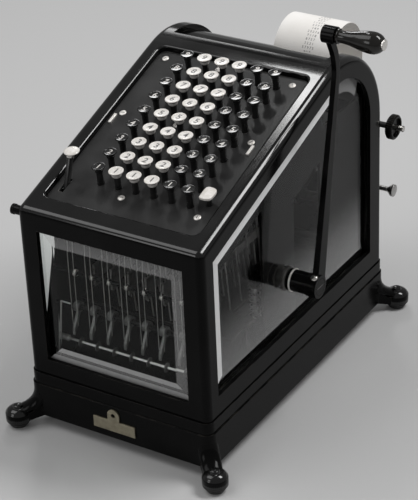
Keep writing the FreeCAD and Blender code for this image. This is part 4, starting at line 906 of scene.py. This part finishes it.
def make_return_spring():
    low, high = (Vector(corner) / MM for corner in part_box("dash_spring"))
    foot = Vector(((low.x + high.x) / 2, (low.y + high.y) / 2, low.z))
    length = high.z - low.z
    climb = (length - 2 * SPRING_WIRE) / SPRING_STEPS
    coil = bmesh.new()
    start = Matrix.Translation(((high.x - low.x) / 2 - SPRING_WIRE, 0, SPRING_WIRE)) @ facing((0, 1, 0))
    ring = bmesh.ops.create_circle(coil, cap_ends=False, radius=SPRING_WIRE, segments=10, matrix=start)
    bmesh.ops.spin(
        coil, geom=ring["verts"] + edges_of(ring["verts"]), cent=(0, 0, 0), axis=(0, 0, 1),
        dvec=(0, 0, climb), angle=2 * math.pi * SPRING_TURNS, steps=SPRING_STEPS,
    )
    bmesh.ops.holes_fill(coil, edges=[e for e in coil.edges if e.is_boundary], sides=0)
    bmesh.ops.recalc_face_normals(coil, faces=coil.faces)
    bmesh.ops.translate(coil, vec=foot, verts=coil.verts)
    spring = piece("return_spring", coil, "case", STEEL, ["dash_spring"])
    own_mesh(spring)


make_knob()
make_printing()
make_wound_roll()
make_return_spring()


# Works close behind the front glass: pin heads, stop wires, adding wheels, a bail and the left plate

SECTIONS = 7
WHEEL_Z = 84.0
STOP_Y = -144.5
STOP_LOW = 106
STOP_HIGH = 226
STOP_SHIFT = 2.9
STOP_R = 0.4
BAIL_R = 0.8
BAIL_CORNER = (-74.5, STOP_Y, 128.0)
BAIL_ENDS = [(-81.0, STOP_Y, 62.0), (-64.0, STOP_Y, 128.0)]
HEAD_SHIFT = 2.1
PIN_HEAD = [(2.02, 0), (2.6, 0), (3.4, 0.8), (3.4, 3.4), (2.6, 4.2), (2.02, 4.2), (2.02, 0)]
WHEEL_DISC = [
    (1.26, -1.4), (1.9, -1.4), (1.9, -0.4), (4.5, -0.4), (4.6, -0.3), (4.6, 0.3),
    (4.5, 0.4), (1.9, 0.4), (1.9, 1.4), (1.26, 1.4), (1.26, -1.4),
]
JOURNAL_R = 3.0
JOURNAL_LEN = 8.0
WAIST_R = 1.2
WAIST_FROM = 9.8


def section_x(section):
    return KEY_X + (section - 1 - (COLUMNS - 1) / 2) * COL_PITCH


def straight_rod(bm, start, finish, radius):
    way = Vector(finish) - Vector(start)
    place = Matrix.Translation(start) @ facing(way)
    turned(bm, [(0, 0), (radius, 0), (radius, way.length), (0, way.length)], place, 10)


def make_front_works():
    heads = bmesh.new()
    wires = bmesh.new()
    wheels = bmesh.new()
    for x in (section_x(n) for n in range(SECTIONS)):
        turned(heads, PIN_HEAD, Matrix.Translation((x - HEAD_SHIFT, UNIT_Y, PIN_Z)) @ facing((1, 0, 0)), 24)
        for shift in (-STOP_SHIFT, STOP_SHIFT):
            straight_rod(wires, (x + shift, STOP_Y, STOP_LOW), (x + shift, STOP_Y, STOP_HIGH), STOP_R)
        turned(wheels, WHEEL_DISC, Matrix.Translation((x, UNIT_Y, WHEEL_Z)) @ facing((1, 0, 0)), 40)
    piece("pin_heads", heads, "case", NICKEL)
    piece("stop_wires", wires, "case", STOP_STEEL)
    reach = nodes["wheel_shaft"].dimensions.x / MM / 2
    shaft = bmesh.new()
    place = Matrix.Translation((0, UNIT_Y, WHEEL_Z)) @ facing((1, 0, 0))
    half = [
        (0, -reach), (JOURNAL_R, -reach), (JOURNAL_R, JOURNAL_LEN - reach), (WAIST_R, WAIST_FROM - reach),
    ]
    turned(shaft, half + [(r, -height) for r, height in reversed(half)], place, 24)
    piece("waisted_wheel_shaft", shaft, "case", WIRE_STEEL, ["wheel_shaft"])
    piece("wheel_discs", wheels, "wheels", DISC_STEEL, ["adding_wheels"])
    bail = bmesh.new()
    straight_rod(bail, BAIL_ENDS[0], BAIL_CORNER, BAIL_R)
    straight_rod(bail, BAIL_CORNER, BAIL_ENDS[1], BAIL_R)
    piece("bail_wire", bail, "case", WIRE_STEEL)


LEFT_PLATE_X = -85.0
LEFT_PLATE_T = 3.0
PLATE_EDGE = [
    (-142, 66), (-142, 59), (-118, 59), (-118, 65), (90, 65), (90, 59), (148, 59), (148, 250), (70, 250),
    (70, 274.9), (-134.5, 208), (-134.5, 172), (-139.9, 156), (-144.9, 142), (-150.6, 124), (-155, 112),
    (-157, 104), (-157, 66),
]


def make_left_plate():
    """The left side plate of the works, with the long curve at its front edge."""
    bm = bmesh.new()
    face = bm.faces.new([bm.verts.new((LEFT_PLATE_X, y, z)) for y, z in PLATE_EDGE])
    made = bmesh.ops.extrude_face_region(bm, geom=[face])
    bmesh.ops.translate(bm, vec=(LEFT_PLATE_T, 0, 0), verts=verts_in(made["geom"]))
    bmesh.ops.recalc_face_normals(bm, faces=bm.faces)
    piece("left_works_plate", bm, "case", INNER_BLACK, ["left_side_plate"])


make_front_works()
make_left_plate()


# Bevelled panes: an inset border drops towards the rim, the back is flat. The bevel strips carry painted
# reflection and glow, picked by the way they face.

GLASS_LAP = 4.65
FRONT_POST = 18.2
REAR_POST = 25.6
SIDE_SILL = 20.0
SIDE_RAIL = 20.6
SIDE_CORNER_R = 65.0
SIDE_BEVEL = 18.3
FRONT_OPENING = 155.1
FRONT_HEAD = 20.2
FRONT_LOW = CASE_FOOT + 16.75 - GLASS_LAP
FRONT_BEVEL = 19.0
BEVEL_DROP = 2.4
VEIL_BAND = (9.5, 13.5)
SHAFT_HOLE_R = 11.35
BEAD_W = 1.4
BEAD_T = 1.6

# Looks of the bevel strips; all but PLAIN are painted reflection or glow.
PLAIN, BRIGHT, VEILED, GREY = range(4)


def close_pane(bm, face, normal, band, edge_look, hole=None):
    """Bevels the rim of a flat face that looks along normal, and gives it a back and a hole."""
    rim = list(face.verts)
    border = bmesh.ops.inset_region(
        bm, faces=[face], thickness=band, use_boundary=True, use_even_offset=True,
    )
    for strip in border["faces"]:
        first, second = [v.co for v in strip.verts if v in rim]
        outwards = (second - first).cross(normal).normalized()
        if outwards.dot(first - strip.calc_center_median()) < 0:
            outwards.negate()
        strip.material_index = edge_look(outwards)
    bmesh.ops.translate(bm, vec=-normal * BEVEL_DROP, verts=rim)
    rim_edges = [e for e in bm.edges if e.is_boundary]
    back = bmesh.ops.extrude_edge_only(bm, edges=rim_edges)
    bmesh.ops.translate(bm, vec=-normal * (GLASS_T - BEVEL_DROP), verts=verts_in(back["geom"]))
    back_edges = [e for e in bm.edges if e.is_boundary]
    if hole is None:
        bmesh.ops.contextual_create(bm, geom=back_edges)
    else:
        centre, radius = hole
        inner = max(bm.faces, key=lambda f: f.calc_area())
        front_loop = list(inner.edges)
        bmesh.ops.delete(bm, geom=[inner], context="FACES_ONLY")
        loops = []
        for depth in (0.0, GLASS_T):
            turn = Matrix.Translation(centre - normal * depth) @ facing(normal)
            ring = bmesh.ops.create_circle(bm, cap_ends=False, radius=radius, segments=48, matrix=turn)
            loops.append(edges_of(ring["verts"]))
        bmesh.ops.triangle_fill(bm, use_beauty=True, edges=front_loop + loops[0], normal=normal)
        bmesh.ops.triangle_fill(bm, use_beauty=True, edges=back_edges + loops[1], normal=-normal)
        bmesh.ops.bridge_loops(bm, edges=loops[0] + loops[1])
    bmesh.ops.recalc_face_normals(bm, faces=bm.faces)
    for side in bm.faces:
        if side.normal.dot(normal) < 0.5:
            side.material_index = PLAIN


# The way a bevel strip faces picks its look: painted highlight and veil where the bevels would catch the
# light.
def left_edge_look(outwards):
    return PLAIN if outwards.y < -0.8 or outwards.z < -0.8 else VEILED


def right_edge_look(outwards):
    if outwards.y < -0.8 or (outwards.z > 0.9 and outwards.y < -0.2):
        return BRIGHT
    return PLAIN if outwards.z < -0.8 or outwards.y > 0.7 else VEILED


def front_edge_look(outwards):
    if outwards.z < -0.8:
        return GREY
    return PLAIN if outwards.x < -0.8 else VEILED


def side_face(bm, side, x):
    front = -CASE_D / 2 + FRONT_POST - GLASS_LAP
    rear = CASE_D / 2 - REAR_POST + GLASS_LAP
    low = CASE_FOOT + SIDE_SILL - GLASS_LAP
    drop = SIDE_RAIL - GLASS_LAP
    corner = math.radians(90) - SLOPE
    reach = SIDE_CORNER_R / math.tan(corner / 2)
    peak = case_top(rear) - drop
    start = (x, rear - reach * math.cos(SLOPE), peak - reach * math.sin(SLOPE))
    verts = [bm.verts.new(p) for p in ((x, front, low), (x, front, case_top(front) - drop), start)]
    for pair in zip(verts, verts[1:]):
        bm.edges.new(pair)
    arc = bmesh.ops.spin(
        bm, geom=[verts[-1]], cent=(x, rear - SIDE_CORNER_R, peak - reach), axis=(1, 0, 0),
        angle=-(math.pi - corner), steps=20,
    )
    last = verts_in(arc["geom_last"])[0]
    foot = bm.verts.new((x, rear, low))
    bm.edges.new((last, foot))
    bm.edges.new((foot, verts[0]))
    loose = [e for e in bm.edges if e.is_wire]
    made = bmesh.ops.contextual_create(bm, geom=loose)
    face = made["faces"][0]
    if face.normal.x * side < 0:
        face.normal_flip()
    return face


def side_pane(side, hole):
    bm = bmesh.new()
    face = side_face(bm, side, side * (CASE_W / 2 - GLASS_SET))
    look = right_edge_look if side > 0 else left_edge_look
    close_pane(bm, face, Vector((side, 0, 0)), SIDE_BEVEL, look, hole)
    return bm


def front_face(bm, y):
    half = FRONT_OPENING / 2 + GLASS_LAP
    high = FRONT_H - FRONT_HEAD + GLASS_LAP
    corners = ((-half, y, FRONT_LOW), (half, y, FRONT_LOW), (half, y, high), (-half, y, high))
    face = bm.faces.new([bm.verts.new(p) for p in corners])
    face.normal_update()
    return face


def front_pane():
    bm = bmesh.new()
    face = front_face(bm, -CASE_D / 2 + GLASS_SET)
    close_pane(bm, face, Vector((0, -1, 0)), FRONT_BEVEL, front_edge_look)
    # Two grey lines along the bottom bevel with clearer glass between them: painted reflection of the lit
    # sill.
    band_low, band_high = (FRONT_LOW + level for level in VEIL_BAND)
    for level in (band_low, band_high):
        strips = [f for f in bm.faces if f.material_index == GREY]
        strip_edges = list(dict.fromkeys(e for f in strips for e in f.edges))
        strip_points = list(dict.fromkeys(v for f in strips for v in f.verts))
        geom = strips + strip_edges + strip_points
        bmesh.ops.bisect_plane(bm, geom=geom, plane_co=(0, 0, level), plane_no=(0, 0, 1))
    for strip in bm.faces:
        if strip.material_index == GREY and band_low < strip.calc_center_median().z < band_high:
            strip.material_index = VEILED
    return bm


def make_glazing_beads():
    """Narrow beads behind the rims of the three panes."""
    bm = bmesh.new()
    behind = GLASS_SET + GLASS_T + 0.1
    for inwards in (Vector((0, 1, 0)), Vector((1, 0, 0)), Vector((-1, 0, 0))):
        if inwards.y:
            face = front_face(bm, -CASE_D / 2 + behind)
        else:
            face = side_face(bm, -inwards.x, -inwards.x * (CASE_W / 2 - behind))
        border = bmesh.ops.inset_region(
            bm, faces=[face], thickness=BEAD_W, use_boundary=True, use_even_offset=True,
        )
        bmesh.ops.delete(bm, geom=[face], context="FACES_ONLY")
        made = bmesh.ops.extrude_face_region(bm, geom=border["faces"])
        bmesh.ops.translate(bm, vec=inwards * BEAD_T, verts=verts_in(made["geom"]))
    bmesh.ops.recalc_face_normals(bm, faces=bm.faces)
    piece("glazing_beads", bm, "case", INNER_BLACK, ["glass_strips"])


make_glazing_beads()
for pane_name, pane, look, replaced in (
    ("front_pane", front_pane(), GLASS, "front_glass"),
    ("left_pane", side_pane(-1, None), GLASS, "left_glass"),
    ("right_pane", side_pane(1, (SHAFT_AT, SHAFT_HOLE_R)), GLASS_PAINTED_REFLECTION, "right_glass"),
):
    sheet = piece(pane_name, pane, "case", look, [replaced], 5.0)
    for border in (PAINTED_GLOW_BORDER, PAINTED_VEIL_BORDER, PAINTED_GREY_BORDER):
        sheet.data.materials.append(border)


# Stage, light and camera, in metres

FLOOR_HALF = 6.0
FLOOR_COLOUR = grey(0.54)
AIR_STRENGTH = 0.26
MIDDLE = (0, 0, 0.25)
LAMPS = [
    ("left_soft_box", (-0.94, -0.54, 1.88), MIDDLE, 1.2, 1.2, 11.2),
    ("high_window", (-0.715, 0.79, 1.75), MIDDLE, 0.16, 0.24, 1.8),
    ("rear_soft_box", (0.99, 0.66, 2.09), MIDDLE, 1.2, 0.55, 29),
    ("far_window", (-1.0, 1.44, 1.2), MIDDLE, 0.35, 0.35, 4),
    ("front_fill", (-0.8, -2.0, 1.0), (0, 0, 0.15), 0.8, 0.8, 5),
]
CAMERA_AT = (0.8661, -1.3530, 1.0334)


def lamp(name, place, target, width, height, power):
    data = bpy.data.lights.new(name, "AREA")
    data.shape = "RECTANGLE"
    data.size = width
    data.size_y = height
    data.energy = power
    obj = bpy.data.objects.new(name, data)
    bpy.context.scene.collection.objects.link(obj)
    back = (Vector(place) - Vector(target)).normalized()
    up = back.cross(Vector((1, 0, 0))).normalized()
    turn = Matrix((up.cross(back), up, back)).transposed().to_4x4()
    obj.matrix_world = Matrix.Translation(place) @ turn


def studio():
    bm = bmesh.new()
    bmesh.ops.create_grid(bm, x_segments=1, y_segments=1, size=FLOOR_HALF)
    mesh = bpy.data.meshes.new("floor")
    bm.to_mesh(mesh)
    bm.free()
    floor = bpy.data.objects.new("floor", mesh)
    bpy.context.scene.collection.objects.link(floor)
    mat, _, shader = new_material("pale_floor")
    shader.inputs["Base Color"].default_value = FLOOR_COLOUR
    shader.inputs["Roughness"].default_value = 0.7
    mesh.materials.append(mat)
    world = bpy.data.worlds.new("studio_air")
    world.use_nodes = True
    sky = world.node_tree.nodes["Background"]
    sky.inputs["Color"].default_value = grey(1.0)
    sky.inputs["Strength"].default_value = AIR_STRENGTH
    bpy.context.scene.world = world
    for row in LAMPS:
        lamp(*row)


def camera():
    azimuth = math.radians(32.7)
    elevation = math.radians(29.39)
    roll = math.radians(-2.56)
    back = Vector((
        math.sin(azimuth) * math.cos(elevation),
        -math.cos(azimuth) * math.cos(elevation),
        math.sin(elevation),
    ))
    right = (-back).cross(Vector((0, 0, 1))).normalized()
    up = right.cross(-back)
    across = math.cos(roll) * right + math.sin(roll) * up
    upright = -math.sin(roll) * right + math.cos(roll) * up
    data = bpy.data.cameras.new("view")
    data.sensor_width = 36.0
    data.lens = 137.2
    data.clip_end = 30.0
    obj = bpy.data.objects.new("view", data)
    bpy.context.scene.collection.objects.link(obj)
    turn = Matrix((across, upright, back)).transposed().to_4x4()
    obj.matrix_world = Matrix.Translation(CAMERA_AT) @ turn
    bpy.context.scene.camera = obj


studio()
camera()
bpy.context.scene.view_settings.view_transform = "Standard"

bpy.context.view_layer.update()
